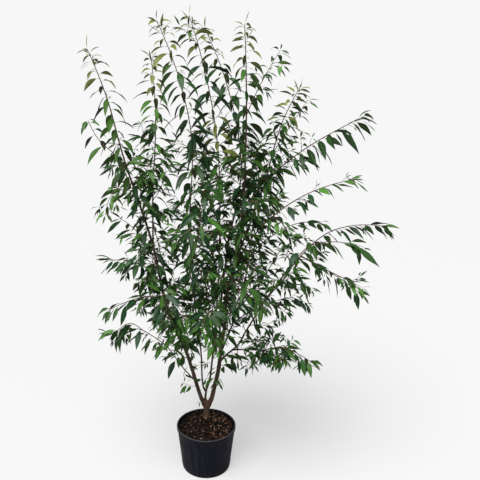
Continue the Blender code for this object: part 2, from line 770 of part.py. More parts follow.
def make_bough(limb, axes, before, outlines, guides, parts, cutters, look):
    """A limb's bare part. Its foot is cut to fit round the parent and its nearest neighbours."""
    axis = axes[limb.name]
    mesh = limb_tube(limb, axis.bough, outlines["bough"], guides)
    made = object_from(mesh, f"{limb.name}_bough", parts, look)
    if limb.parent == "trunk":
        cutter = trunk_tube(axes["trunk"].path, outlines["trunk"], guides, CUT_GAP)
        boolean(made, "DIFFERENCE", other=object_from(cutter, "trunk_cutter", cutters))
    for other in near_limbs(limb, axes, before):
        _, bough, stem = axes[other.name]
        for rings, outline in ((bough, "bough"), (stem, "stem")):
            cutter = limb_tube(other, rings, outlines[outline], guides, CUT_GAP)
            boolean(made, "DIFFERENCE", other=object_from(cutter, f"{other.name}_cutter", cutters))
    apply_modifiers(made)
    keep_largest_body(made)
    made.data.materials.clear()
    made.data.materials.append(look)
    for thing in list(cutters.objects):
        remove_object(thing)
    return made


def shade(thing):
    thing.data.shade_smooth()
    thing.data.set_sharp_from_angle(angle=math.radians(40.0))


def main():
    for thing in list(bpy.data.objects):
        bpy.data.objects.remove(thing)
    parts = new_collection(OBJECT_NAME)
    guides = new_collection("guides")
    cutters = new_collection("cutters")
    guides.hide_render = True
    cutters.hide_render = True
    pot_look = material("pot_black_plastic", POT_LOOK)
    soil_look = material("potting_soil", SOIL_LOOK)
    bark_look = material("brown_bark", BARK_LOOK)
    leaf_look = material("green_leaves", LEAF_LOOK)
    outlines = {
        "trunk": section(TRUNK_SIDES, guides),
        "bough": section(BOUGH_SIDES, guides),
        "stem": section(STEM_SIDES, guides),
        "twig": section(TWIG_SIDES, guides),
    }
    axes = limb_axes()
    shade(make_pot(parts, pot_look))
    make_soil(parts, soil_look)
    trunk = trunk_tube(axes["trunk"].path, outlines["trunk"], guides)
    shade(object_from(trunk, "trunk", parts, bark_look))
    for number, limb in enumerate(LIMBS):
        shade(make_bough(limb, axes, LIMBS[:number], outlines, guides, parts, cutters, bark_look))
    space = Space(axes)
    for number, limb in enumerate(LIMBS):
        mass = Mass(number, axes[limb.name].path, space)
        mass.grow()
        fuse_mass(mass, axes[limb.name].stem, outlines, guides, parts, leaf_look)
    for outline in outlines.values():
        remove_object(outline)


if __name__ == "__main__":
    main()
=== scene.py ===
# A young multi-stem birch bark cherry in a round nursery pot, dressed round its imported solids.
# Metres, +Z up, the front towards -Y, and the origin under the middle of the pot.
# Change the numbers in the dictionaries; every run with the same numbers gives the same tree.
import json
import math
import random
from collections import namedtuple

import bmesh
import bpy
import numpy as np
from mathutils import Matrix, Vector, noise

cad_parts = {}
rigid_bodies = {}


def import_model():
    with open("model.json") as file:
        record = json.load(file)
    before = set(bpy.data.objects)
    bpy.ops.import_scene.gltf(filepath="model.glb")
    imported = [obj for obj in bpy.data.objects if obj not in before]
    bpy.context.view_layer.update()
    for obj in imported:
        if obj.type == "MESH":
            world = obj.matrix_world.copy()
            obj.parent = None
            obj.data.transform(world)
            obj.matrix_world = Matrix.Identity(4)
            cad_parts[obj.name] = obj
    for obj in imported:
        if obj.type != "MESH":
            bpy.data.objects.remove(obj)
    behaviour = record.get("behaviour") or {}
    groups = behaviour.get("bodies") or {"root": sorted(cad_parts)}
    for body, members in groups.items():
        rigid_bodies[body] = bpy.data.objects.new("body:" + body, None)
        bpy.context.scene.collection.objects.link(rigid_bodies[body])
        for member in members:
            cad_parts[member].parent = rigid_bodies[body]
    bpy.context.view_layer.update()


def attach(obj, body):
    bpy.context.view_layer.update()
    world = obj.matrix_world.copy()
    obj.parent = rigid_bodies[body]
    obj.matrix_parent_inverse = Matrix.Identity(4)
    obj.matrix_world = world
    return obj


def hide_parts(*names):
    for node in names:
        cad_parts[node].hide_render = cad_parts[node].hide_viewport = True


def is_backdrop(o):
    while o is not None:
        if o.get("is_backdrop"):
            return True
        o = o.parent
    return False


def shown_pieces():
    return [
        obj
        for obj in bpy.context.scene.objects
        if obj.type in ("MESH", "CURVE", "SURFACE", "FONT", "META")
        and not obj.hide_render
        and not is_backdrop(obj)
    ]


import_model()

noise.seed_set(7)       # otherwise the noise that shapes chips and grains differs from run to run
down = np.array((0.0, 0.0, -1.0))
fullTurn = 2 * math.pi
limbPoints, twigPoints = 121, 41


# paths and directions

def unit(vectors):
    vectors = np.asarray(vectors, float)
    return vectors / np.maximum(np.linalg.norm(vectors, axis=-1, keepdims=True), 1e-9)


def smoothPath(places, count=limbPoints):
    # evenly spaced points on one smooth curve through the places
    places = np.array(places, float)
    chords = np.linalg.norm(np.diff(places, axis=0), axis=1)
    knots = np.concatenate([[0.0], np.cumsum(chords)])
    slopes = np.gradient(places, knots, axis=0, edge_order=2)
    fine = np.linspace(0.0, knots[-1], 4 * count)
    part = np.clip(np.searchsorted(knots, fine, "right") - 1, 0, len(chords) - 1)
    span = chords[part][:, None]
    t = (fine[:, None] - knots[part][:, None]) / span
    curve = (
        (2 * t**3 - 3 * t**2 + 1) * places[part]
        + (t**3 - 2 * t**2 + t) * span * slopes[part]
        + (3 * t**2 - 2 * t**3) * places[part + 1]
        + (t**3 - t**2) * span * slopes[part + 1]
    )
    lengths = np.concatenate([[0.0], np.cumsum(np.linalg.norm(np.diff(curve, axis=0), axis=1))])
    even = np.linspace(0.0, lengths[-1], count)
    return np.stack([np.interp(even, lengths, curve[:, axis]) for axis in range(3)], axis=1)


def atShare(path, share):
    place = np.asarray(share) * (len(path) - 1)
    steps = np.arange(len(path))
    return np.stack([np.interp(place, steps, path[:, axis]) for axis in range(3)], axis=-1)


def directionAt(path, share):
    return unit(atShare(path, min(share + 0.01, 1.0)) - atShare(path, max(share - 0.01, 0.0)))


def pathLength(path):
    return float(np.linalg.norm(np.diff(path, axis=0), axis=1).sum())


def outward(along, angle):
    # square to the direction, turned round it by the angle
    side = np.cross(along, (0.0, 0.0, 1.0))
    if np.linalg.norm(side) < 0.1:
        side = np.cross(along, (0.0, 1.0, 0.0))
    side = unit(side)
    return side * math.cos(angle) + np.cross(side, along) * math.sin(angle)


def between(low, high, share):
    return low + (high - low) * min(max(share, 0.0), 1.0)


def inMetres(millimetres):
    return np.array(millimetres) / 1000


# meshes: one small shape made with bmesh, then placed many times as arrays

def mergeDoubles(shape):
    bmesh.ops.remove_doubles(shape, verts=shape.verts, dist=1e-5)


def facesOutwards(shape):
    bmesh.ops.recalc_face_normals(shape, faces=shape.faces)


def meshOf(shape, name):
    mesh = bpy.data.meshes.new(name)
    shape.to_mesh(mesh)
    shape.free()
    return mesh


def smoothed(mesh, sharpAngle):
    mesh.shade_smooth()
    mesh.set_sharp_from_angle(angle=math.radians(sharpAngle))
    return mesh


def addPiece(name, mesh, looks, *nodes):
    # a shown piece of the part: it rides on the one body and stands for these solids
    for look in looks:
        mesh.materials.append(look)
    piece = bpy.data.objects.new(name, mesh)
    bpy.context.scene.collection.objects.link(piece)
    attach(piece, "root")
    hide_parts(*nodes)


def readOut(items, field, width=1, kind=np.int32):
    values = np.empty(len(items) * width, kind)
    items.foreach_get(field, values)
    return values


def pointsOf(mesh):
    return readOut(mesh.vertices, "co", 3, float).reshape(-1, 3)


def joinedMesh(name, parts, sharpAngle=180.0, **attributes):
    # parts are (mesh, places of its points in each copy); an attribute is a value for each point
    points, corners, counts, slots = [], [], [], []
    total = 0
    for mesh, places in parts:
        copies, size = places.shape[:2]
        shift = total + np.arange(copies, dtype=np.int32)[:, None] * size
        points.append(places.reshape(-1, 3))
        corners.append((readOut(mesh.loops, "vertex_index") + shift).ravel())
        counts.append(np.tile(readOut(mesh.polygons, "loop_total"), copies))
        slots.append(np.tile(readOut(mesh.polygons, "material_index"), copies))
        total += copies * size
    corners, counts = np.concatenate(corners), np.concatenate(counts)
    firsts = np.concatenate([[0], np.cumsum(counts)[:-1]])
    made = bpy.data.meshes.new(name)
    made.vertices.add(total)
    made.vertices.foreach_set("co", np.concatenate(points).astype(np.float32).ravel())
    made.loops.add(len(corners))
    made.loops.foreach_set("vertex_index", corners)
    made.polygons.add(len(counts))
    made.polygons.foreach_set("loop_start", firsts.astype(np.int32))
    made.polygons.foreach_set("material_index", np.concatenate(slots))
    made.update(calc_edges=True)
    made.validate()
    for label, values in attributes.items():
        kind, field = ("FLOAT_VECTOR", "vector") if np.ndim(values) == 2 else ("FLOAT", "value")
        layer = made.attributes.new(label, kind, "POINT")
        layer.data.foreach_set(field, np.asarray(values, np.float32).ravel())
    return smoothed(made, sharpAngle)


def spunShape(profile, sides):
    # a profile of radii and heights, spun round the upright axis: a grid rolled up
    shape = bmesh.new()
    steps = len(profile) - 1
    bmesh.ops.create_grid(shape, x_segments=sides, y_segments=steps, size=0.5)
    for vert in shape.verts:
        angle = vert.co.x * fullTurn
        radius, height = profile[round((vert.co.y + 0.5) * steps)]
        vert.co = (radius * math.cos(angle), radius * math.sin(angle), height)
    mergeDoubles(shape)
    return shape


def tubeShape(sides, rings):
    # a tube one metre in radius and length, with its ends closed
    shape = spunShape([(1.0, ring / (rings - 1)) for ring in range(rings)], sides)
    bmesh.ops.holes_fill(shape, edges=shape.edges, sides=sides)
    facesOutwards(shape)
    return meshOf(shape, "tube")


def squareTo(centres):
    # two directions square to each path, which don't spin round it
    along = unit(np.gradient(centres, axis=1))
    sides = np.empty_like(along)
    upright = np.abs(along[:, 0, 2:3]) > 0.95
    sides[:, 0] = unit(np.cross(along[:, 0], np.where(upright, (0.0, 1.0, 0.0), (0.0, 0.0, 1.0))))
    for ring in range(1, centres.shape[1]):
        last, here = sides[:, ring - 1], along[:, ring]
        sides[:, ring] = unit(last - here * (last * here).sum(axis=1, keepdims=True))
    return sides, np.cross(along, sides)


def ringsOf(mesh, count):
    # a tube's points, and the ring of each
    points = pointsOf(mesh)
    return points, np.rint(points[:, 2] * (count - 1)).astype(int)


def tubesAlong(mesh, centres, radii):
    # places of the tube's points on each path of ring centres
    points, ring = ringsOf(mesh, centres.shape[1])
    sides, ups = squareTo(centres)
    offsets = points[None, :, 0:1] * sides[:, ring] + points[None, :, 1:2] * ups[:, ring]
    return centres[:, ring] + offsets * radii[:, ring, None]


# materials

def setInputs(tree, node, inputs):
    # each input is linked to a socket or set to a value
    for key, value in inputs.items():
        socket = node.inputs[key]
        if isinstance(value, bpy.types.NodeSocket):
            tree.links.new(value, socket)
        else:
            socket.default_value = (*value, 1.0) if socket.type == "RGBA" else value


def addNode(tree, kind, inputs, **settings):
    made = tree.nodes.new(kind)
    for setting, value in settings.items():
        setattr(made, setting, value)
    setInputs(tree, made, inputs)
    return made.outputs


def attributeOf(tree, name, output):
    return addNode(tree, "ShaderNodeAttribute", {}, attribute_name=name)[output]


def newLook(name, placeName=None):
    # a material, its nodes, and the places that its patterns read: the piece's own, or an attribute
    made = bpy.data.materials.new(name)
    made.use_nodes = True
    tree = made.node_tree
    if placeName:
        return made, tree, attributeOf(tree, placeName, "Vector")
    return made, tree, addNode(tree, "ShaderNodeTexCoord", {})["Object"]


def finished(made, colour, roughness, bumps, specular=0.5):
    # a bump is its height, distance and strength, and each lies on the last
    tree = made.node_tree
    shader = {"Base Color": colour, "Roughness": roughness, "Specular IOR Level": specular}
    for height, distance, strength in bumps:
        below = {"Normal": shader["Normal"]} if "Normal" in shader else {}
        inputs = {"Height": height, "Distance": distance, "Strength": strength, **below}
        shader["Normal"] = addNode(tree, "ShaderNodeBump", inputs)["Normal"]
    setInputs(tree, tree.nodes["Principled BSDF"], shader)
    return made


def mixColours(tree, mask, first, second):
    # first where the mask is 0, second where it is 1; each is a colour or a socket
    return addNode(tree, "ShaderNodeMix", {0: mask, 6: first, 7: second}, data_type="RGBA")[2]


def spread(tree, value, low, high, since=0.0, until=1.0):
    return addNode(tree, "ShaderNodeMapRange", {
        "Value": value, "From Min": since, "From Max": until, "To Min": low, "To Max": high,
    })["Result"]


def patchGroup():
    # soft patches: a mask between two levels of a noise, and the noise itself for a bump
    group = bpy.data.node_groups.new("patches", "ShaderNodeTree")
    for way, kind, names in (
        ("INPUT", "Vector", ("Vector", "Stretch")),
        ("INPUT", "Float", ("Detail", "From", "To")),
        ("OUTPUT", "Float", ("Mask", "Height")),
    ):
        for name in names:
            group.interface.new_socket(name, in_out=way, socket_type="NodeSocket" + kind)
    entry = addNode(group, "NodeGroupInput", {})
    stretched = {0: entry["Vector"], 1: entry["Stretch"]}
    place = addNode(group, "ShaderNodeVectorMath", stretched, operation="MULTIPLY")[0]
    cloudInputs = {"Scale": 1.0, "Vector": place, "Detail": entry["Detail"]}
    cloud = addNode(group, "ShaderNodeTexNoise", cloudInputs)["Fac"]
    mask = spread(group, cloud, 0.0, 1.0, entry["From"], entry["To"])
    addNode(group, "NodeGroupOutput", {"Mask": mask, "Height": cloud})
    return group


patches = patchGroup()


def addPatches(tree, place, stretch, low, high, detail=3.0):
    stretch = stretch if isinstance(stretch, tuple) else (stretch,) * 3
    made = addNode(tree, "ShaderNodeGroup", {
        "Vector": place, "Stretch": stretch, "Detail": detail, "From": low, "To": high,
    }, node_tree=patches)
    return made["Mask"], made["Height"]


def shades(colour, factor, lift=0.0):
    return tuple(min(part * factor + lift, 1.0) for part in colour)


# the tree's limbs: the same axes as the solids

trunk = {
    "path": ((0.0, 0.072, 0.2103), (0.001, 0.072, 0.245), (-0.001, 0.072, 0.292)),
    "flareRadius": 0.0235,
    "radius": 0.0155,
    "topRadius": 0.0125,
    "flareHeight": 0.020,
    "limbTip": 0.0013,      # every limb's radius at its tip
}
# A row is a limb, the one that it leaves and the share of that one; its radius there; the shares of it that
# are bare of twigs and of leaves; its longest twigs; how close its twigs and leaves stand, how large its
# leaves are and how far its twigs reach, 1 as usual; the places it bends through, and its tip. Sizes and
# places are in millimetres.
Limb = namedtuple("Limb", "name parent share radius bare leafy twig full size reach bends")
limbRows = (
    ("left_tall", "trunk", 0.66, 9.5, 0.36, 0.25, 150, 1.3, 1, 0.75, (-19, 69, 298), (-37, 67, 353),
     (-66, 62, 460), (-100, 54, 575), (-150, 40, 690), (-240, 0, 1110), (-350, -20, 1485),
     (-410, -30, 1730), (-475, -30, 1900)),
    ("right_tall", "trunk", 0.62, 10.8, 0.38, 0.27, 150, 1.2, 1, 1, (23, 71, 297), (36, 70, 351),
     (58, 66, 458), (70, 62, 574), (86, 55, 692), (92, 48, 818), (140, 30, 1060), (165, -20, 1585),
     (150, -50, 1990)),
    ("centre_tall", "trunk", 0.86, 5, 0.3, 0.2, 150, 1.25, 1, 1, (-4, 72, 313), (0, 72, 345),
     (16, 72, 403), (27, 71, 492), (36, 70, 601), (60, 40, 1125), (40, 10, 1585), (-68, 0, 2030)),
    ("centre_second", "right_tall", 0.17, 5.2, 0.27, 0.16, 150, 1.15, 1, 1, (65, 85, 690),
     (95, 140, 1005), (160, 180, 1425), (105, 190, 1735), (-5, 200, 2010)),
    ("mid_left", "centre_tall", 0.036, 4, 0.33, 0.2, 150, 1.4, 1, 0.75, (-12, 70, 362), (-18, 67, 400),
     (-22, 62, 510), (-29, 53, 608), (-45, 20, 755), (-70, -50, 1145), (-65, -90, 1605),
     (-190, -100, 1995)),
    ("left_inner", "left_tall", 0.5, 3.8, 0.14, 0.14, 120, 1.25, 1, 1, (-235, 50, 1280),
     (-220, 100, 1665), (-235, 110, 1885)),
    ("right_upper", "right_tall", 0.44, 4.8, 0.18, 0.18, 130, 1.6, 1, 1, (250, 70, 1330),
     (345, 110, 1645), (405, 120, 1760)),
    ("right_reach", "right_upper", 0.24, 3.2, 0.14, 0.14, 70, 1.2, 1, 1, (285, 20, 1390),
     (380, -30, 1485), (530, -110, 1590), (610, -140, 1635)),
    ("right_mid", "right_tall", 0.38, 3.7, 0.2, 0.2, 110, 1, 0.8, 1, (265, -50, 1210),
     (430, -120, 1340), (585, -170, 1395)),
    ("right_arc", "right_tall", 0.35, 3.4, 0.2, 0.2, 110, 1.15, 0.9, 1, (290, 100, 1100),
     (430, 140, 1160), (540, 160, 1155)),
    ("right_long", "right_tall", 0.145, 4.6, 0.28, 0.17, 130, 1.2, 0.95, 1, (108, 58, 552),
     (145, 55, 587), (186, 50, 665), (365, 10, 970), (545, -30, 1160), (755, -60, 1185)),
    ("right_low_arc", "right_long", 0.38, 3.1, 0.16, 0.16, 90, 0.65, 1.05, 1, (335, -80, 960),
     (430, -170, 1130), (565, -230, 1150)),
    ("right_fall", "right_long", 0.62, 2.8, 0.14, 0.14, 90, 0.75, 1.1, 1, (540, 50, 965),
     (715, 100, 835)),
    ("right_back", "right_tall", 0.17, 4.4, 0.25, 0.25, 160, 0.8, 1, 1, (175, 160, 820),
     (225, 270, 1105), (250, 350, 1480)),
    ("low_right", "right_long", 0.085, 3.2, 0.2, 0.13, 120, 2.1, 1, 0.9, (185, 20, 585),
     (255, -30, 605), (325, -90, 645), (455, -140, 600)),
    ("low_left", "left_tall", 0.085, 2.8, 0.25, 0.25, 90, 0.95, 1.4, 0.45, (-101, 55, 464),
     (-188, 30, 600), (-283, -10, 691), (-342, -30, 735), (-395, -60, 710)),
    ("left_fall", "left_tall", 0.26, 3.1, 0.18, 0.18, 110, 1.3, 1, 1, (-250, -80, 880),
     (-330, -130, 875), (-410, -160, 845)),
    ("left_mid", "left_tall", 0.39, 3.1, 0.18, 0.18, 120, 1.8, 1, 1, (-290, -60, 1020),
     (-345, -90, 1045), (-400, -120, 1050)),
    ("left_upper", "left_tall", 0.42, 3, 0.2, 0.2, 120, 0.6, 1, 1, (-310, 100, 1120),
     (-400, 170, 1175)),
    ("left_side", "left_tall", 0.6, 2.8, 0.16, 0.16, 80, 0.5, 1, 0.6, (-385, 60, 1465),
     (-475, 100, 1545), (-515, 110, 1620)),
    ("front_left", "left_tall", 0.17, 3.6, 0.22, 0.18, 150, 1.2, 1, 0.75, (-140, -200, 820),
     (-160, -420, 1010)),
    ("front_centre", "centre_tall", 0.17, 3.2, 0.22, 0.16, 150, 1.2, 1, 1, (0, -160, 780),
     (10, -410, 930)),
    ("front_right", "right_tall", 0.26, 3.6, 0.22, 0.22, 150, 0.9, 1, 1, (150, -180, 930),
     (180, -380, 1090)),
    ("front_high", "mid_left", 0.4, 3.1, 0.22, 0.22, 140, 1, 1, 1, (-35, -220, 1170),
     (-5, -360, 1380)),
    ("back_left", "left_tall", 0.2, 3.8, 0.22, 0.22, 160, 0.9, 1, 1, (-210, 270, 900),
     (-290, 450, 1180)),
    ("back_right", "right_back", 0.22, 3.6, 0.22, 0.22, 160, 0.8, 1, 1, (270, 260, 840),
     (400, 400, 1000)),
    ("back_low", "centre_second", 0.1, 3.5, 0.22, 0.22, 160, 1, 1, 1, (30, 300, 740),
     (-40, 480, 900)),
    ("back_high", "centre_second", 0.34, 3.4, 0.22, 0.22, 160, 0.8, 1, 0.7, (30, 340, 1220),
     (-40, 470, 1470)),
)
limbs = [
    Limb(name, parent, share, radius / 1000, bare, leafy, twig / 1000, full, size, reach, inMetres(bends))
    for name, parent, share, radius, bare, leafy, twig, full, size, reach, *bends in limbRows
]
limbNamed = {limb.name: limb for limb in limbs}
masses = [f"{limb.name}_leaves" for limb in limbs]


def limbRadius(limb, share):
    return trunk["limbTip"] + (limb.radius - trunk["limbTip"]) * (1.0 - share)


def trunkRadius(share):
    height = share * (trunk["path"][-1][2] - trunk["path"][0][2])
    flare = (trunk["flareRadius"] - trunk["radius"]) * np.exp(-height / trunk["flareHeight"] * 2.2)
    return trunk["radius"] + flare - (trunk["radius"] - trunk["topRadius"]) * share


axes = {"trunk": smoothPath(trunk["path"])}
for limb in limbs:
    axes[limb.name] = smoothPath((atShare(axes[limb.parent], limb.share), *limb.bends))


# camera, light and floor

studio = {
    "lens": 39.0,
    "cameraPlace": (0.0, -2.22, 1.62),
    "cameraTilt": 77.1,         # degrees from straight down
    "frameShift": 0.0704,       # the trunk stands left of the frame's middle
    "backdrop": 0.93,           # how bright the paper behind the tree looks
    "skyStrength": 0.22,
    "sunStrength": 5.0,
    "sunSoftness": 50.0,        # degrees across
    "sunTurn": (30.0, 0.0, -28.0),
    "fillPlace": (2.6, -3.4, 2.6),
    "fillAim": (0.1, 0.0, 1.0),
    "fillSize": 2.2,
    "fillWatts": 26.0,
    "floorColour": (0.30, 0.30, 0.30),
    "floorGlow": 0.45,          # as seen, so that the floor meets the backdrop
    "floorHalf": 60.0,
}


def placeObject(name, data, place=(0.0, 0.0, 0.0), turn=(0.0, 0.0, 0.0)):
    made = bpy.data.objects.new(name, data)
    made.location, made.rotation_euler = place, turn
    bpy.context.scene.collection.objects.link(made)
    return made


def asSeen(tree, other, seen):
    # one strength for the camera, another for the light that it gives
    return spread(tree, addNode(tree, "ShaderNodeLightPath", {})["Is Camera Ray"], other, seen)


def makeStudio():
    white = (1.0, 1.0, 1.0)
    scene = bpy.context.scene
    scene.view_settings.view_transform = "Standard"
    world = bpy.data.worlds.new("studio")
    world.use_nodes = True
    strength = asSeen(world.node_tree, studio["skyStrength"], studio["backdrop"])
    setInputs(world.node_tree, world.node_tree.nodes["Background"], {"Strength": strength, "Color": white})
    scene.world = world
    sun = bpy.data.lights.new("sun", "SUN")
    sun.energy, sun.angle = studio["sunStrength"], math.radians(studio["sunSoftness"])
    placeObject("sun", sun, turn=[math.radians(turn) for turn in studio["sunTurn"]])
    fill = bpy.data.lights.new("fill", "AREA")
    fill.energy, fill.size = studio["fillWatts"], studio["fillSize"]
    aim = Vector(studio["fillAim"]) - Vector(studio["fillPlace"])
    placeObject("fill", fill, studio["fillPlace"], aim.to_track_quat("-Z", "Y").to_euler())
    camera = bpy.data.cameras.new("camera")
    camera.lens, camera.sensor_width, camera.shift_x = studio["lens"], 36.0, studio["frameShift"]
    tilt = (math.radians(studio["cameraTilt"]), 0.0, 0.0)
    scene.camera = placeObject("camera", camera, studio["cameraPlace"], tilt)
    shape = bmesh.new()
    bmesh.ops.create_grid(shape, x_segments=1, y_segments=1, size=studio["floorHalf"])
    mesh = meshOf(shape, "floor")
    look = bpy.data.materials.new("pale_floor")
    look.use_nodes = True
    setInputs(look.node_tree, look.node_tree.nodes["Principled BSDF"], {
        "Base Color": studio["floorColour"], "Roughness": 1.0, "Specular IOR Level": 0.0,
        "Emission Color": white, "Emission Strength": asSeen(look.node_tree, 0.0, studio["floorGlow"]),
    })
    mesh.materials.append(look)
    floor = placeObject("floor", mesh)
    floor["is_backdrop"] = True


makeStudio()
print("studio made")


# the pot

pot = {
    "height": 0.212,
    "rimRadius": 0.140,
    "footRadius": 0.114,
    "wall": 0.0024,
    "lipHeight": 0.014,
    "lipOverhang": 0.0035,
    "lipRoll": 0.0024,
    "footRound": 0.007,
    "sides": 128,
    "colour": (0.0042, 0.0048, 0.0105),
    "dust": (0.014, 0.014, 0.016),
    "dustHeight": 0.07,             # there is more dust below this
    # the pale colour of the moulding streaks, and of the painted highlight on the rim
    "streakAndHighlight": (0.110, 0.112, 0.118),
    "rimHighlightHeights": (0.2085, 0.2118),   # a painted highlight turns the rim pale between these
}


def arc(middle, radius, first, last, steps):
    # points in radius and height on a round corner, its angles in degrees
    angles = np.radians(np.linspace(first, last, steps))
    return [(middle[0] + radius * math.cos(a), middle[1] + radius * math.sin(a)) for a in angles]


def potInner(height):
    foot = pot["footRadius"] - pot["wall"]
    top = pot["rimRadius"] - pot["lipOverhang"] - pot["wall"]
    share = (height - pot["footRound"]) / (pot["height"] - pot["footRound"])
    return foot + (top - foot) * share


def potProfile():
    # from the inside, over the lip, down the outer side and under the foot
    top, rim, roll = pot["height"], pot["rimRadius"], pot["lipRoll"]
    foot, turn = pot["footRadius"], pot["footRound"]
    wallTop = rim - pot["lipOverhang"]
    lipFoot = top - pot["lipHeight"]
    inner = potInner(top)
    return [
        (potInner(0.150), 0.150), (potInner(0.185), 0.185), (inner - 0.0002, top - roll),
        *arc((inner + 0.0018, top - 0.0020), 0.0020, 178.0, 95.0, 5),
        *arc((rim - roll, top - roll), roll, 88.0, 0.0, 6),
        (rim - 0.0002, top - 0.5 * pot["lipHeight"]),
        *arc((rim - 0.0022, lipFoot + 0.0016), 0.0018, 0.0, -88.0, 5),
        (wallTop + 0.0006, lipFoot - 0.0004), (wallTop - 0.0004, lipFoot - 0.003),
        *((foot + (wallTop - foot) * ((height - turn) / (lipFoot - turn)), height)
          for height in (0.170, 0.140, 0.110, 0.080, 0.050, 0.034)),
        (foot + 0.0036, 0.030), (foot + 0.0028, 0.0275), (foot + 0.0022, 0.020),
        *arc((foot - turn, turn), turn, 4.0, -90.0, 9),
        (foot - 0.016, 0.0), (foot - 0.019, 0.0022), (0.0, 0.0022),
    ]


def potFinish():
    # black plastic with moulding streaks, dust that lies thicker below, and a painted highlight that turns
    # the rim pale
    look, tree, place = newLook("black_plastic")
    streaks, streakHeight = addPatches(tree, place, (70.0, 70.0, 6.0), 0.50, 0.80, 4.0)
    dust, _ = addPatches(tree, place, 16.0, 0.48, 0.85, 5.0)
    _, grainHeight = addPatches(tree, place, 900.0, 0.3, 0.7, 2.0)
    height = addNode(tree, "ShaderNodeSeparateXYZ", {0: place})["Z"]
    low = spread(tree, height, 0.55, 0.12, 0.0, pot["dustHeight"])
    dusty = addNode(tree, "ShaderNodeMath", {0: dust, 1: low}, operation="MULTIPLY")[0]
    # painted highlight: a narrow pale band round the top of the rim
    rim = spread(tree, height, 0.0, 0.42, *pot["rimHighlightHeights"])
    colour = mixColours(tree, dusty, pot["colour"], pot["dust"])
    colour = mixColours(tree, spread(tree, streaks, 0.0, 0.14), colour, pot["streakAndHighlight"])
    colour = mixColours(tree, rim, colour, pot["streakAndHighlight"])
    bumps = ((grainHeight, 0.00012, 0.7), (streakHeight, 0.0006, 0.35))
    return finished(look, colour, spread(tree, dust, 0.40, 0.62), bumps, 0.12)


def makePot():
    shape = spunShape(potProfile(), pot["sides"])
    facesOutwards(shape)
    addPiece("pot_shell", smoothed(meshOf(shape, "pot_shell"), 50.0), [potFinish()], "pot")


makePot()
print("pot made")


# soil, bark chips and perlite

soil = {
    "level": 0.191,
    "depth": 0.03,
    "gap": 0.0006,              # to the pot's wall
    "heapTop": 0.2096,
    "heapFlat": 0.032,
    "heapSpread": 0.062,
    "rings": 34,
    "sides": 150,
    "roughness": 0.0030,
    "seed": 7,
    "colour": (0.0028, 0.0018, 0.0014),
    "crumb": (0.011, 0.007, 0.0048),
}
chips = {
    "count": 1150,
    "long": (0.006, 0.019),
    "wide": (0.30, 0.60),       # shares of the length
    "thick": (0.10, 0.22),
    "trunkGap": 0.021,
    "wallGap": 0.004,           # between their middles and the pot's wall
    "overhang": 0.003,          # how far into this gap they reach
    "tilt": 0.45,
    "tanShare": 0.07,
    "tanCorner": (0.012, -0.09),    # most of the tan ones lie to the right of and behind this place
    "tanFactors": (2.6, 0.5),       # how many of them lie there and elsewhere, beside their share
    "brownShare": 0.45,             # of the others
    "dark": (0.0060, 0.0038, 0.0030),
    "brown": (0.034, 0.017, 0.010),
    "tan": (0.125, 0.062, 0.034),
}
perlite = {
    "count": 60,
    "reach": 0.128,
    "size": (0.0006, 0.0017),
    "lift": 0.0018,
    "colour": (0.72, 0.70, 0.66),
    "shade": (0.46, 0.43, 0.38),
}
trunkX, trunkY, _ = trunk["path"][0]


def soilTop(x, y):
    # the soil's surface: heaped against the trunk, and crumbled by two sizes of noise
    apart = max(math.hypot(x - trunkX, y - trunkY) - soil["heapFlat"], 0.0)
    heap = (soil["heapTop"] - soil["level"]) * math.exp(-((apart / soil["heapSpread"]) ** 2))
    crumbs = noise.noise(Vector((x * 60, y * 60, 3.0))) + 0.6 * noise.noise(Vector((x * 170, y * 170, 9.0)))
    return soil["level"] + heap + crumbs * soil["roughness"]


def makeSoil():
    # a flat disc with a skirt, whose upper points then rise to the soil's surface
    radius, rings = potInner(soil["level"]) - soil["gap"], soil["rings"]
    foot = soil["level"] - soil["depth"]
    disc = [(radius * ring / rings, soil["level"]) for ring in range(rings + 1)]
    shape = spunShape([*disc, (radius, foot)], soil["sides"])
    for vert in shape.verts:
        if vert.co.z > foot + soil["depth"] / 2:
            vert.co.z = soilTop(vert.co.x, vert.co.y)
    bmesh.ops.holes_fill(shape, edges=shape.edges, sides=soil["sides"])
    facesOutwards(shape)
    look, tree, place = newLook("soil")
    crumbs, crumbHeight = addPatches(tree, place, 260.0, 0.42, 0.62, 5.0)
    colour = mixColours(tree, crumbs, soil["colour"], soil["crumb"])
    finished(look, colour, spread(tree, crumbs, 0.75, 0.98), ((crumbHeight, 0.004, 1.0),), 0.05)
    addPiece("soil_bed", smoothed(meshOf(shape, "soil_bed"), 60.0), [look], "soil")


def chipShape():
    # a split flake of bark: a cut block with its corners pulled about
    shape = bmesh.new()
    bmesh.ops.create_cube(shape, size=2.0)
    long = [edge for edge in shape.edges if abs((edge.verts[0].co - edge.verts[1].co).x) > 1.0]
    bmesh.ops.subdivide_edges(shape, edges=long, cuts=2, use_grid_fill=True)
    for vert in shape.verts:
        vert.co.y *= 1.0 - 0.45 * max(abs(vert.co.x) - 0.3, 0.0)
        vert.co.z += 0.35 * (1.0 - vert.co.x**2)
        vert.co += 0.22 * noise.noise_vector(vert.co * 1.7)
    return meshOf(shape, "chip")


def chipFinish(name, colour):
    look, tree, place = newLook(name)
    grain, grainHeight = addPatches(tree, place, (420.0, 420.0, 900.0), 0.35, 0.70, 4.0)
    patchy, _ = addPatches(tree, place, 55.0, 0.35, 0.75)
    colours = mixColours(tree, grain, colour, shades(colour, 1.9, 0.01))
    colours = mixColours(tree, patchy, colours, shades(colour, 0.45))
    return finished(look, colours, spread(tree, grain, 0.65, 0.95), ((grainHeight, 0.0012, 1.0),), 0.08)


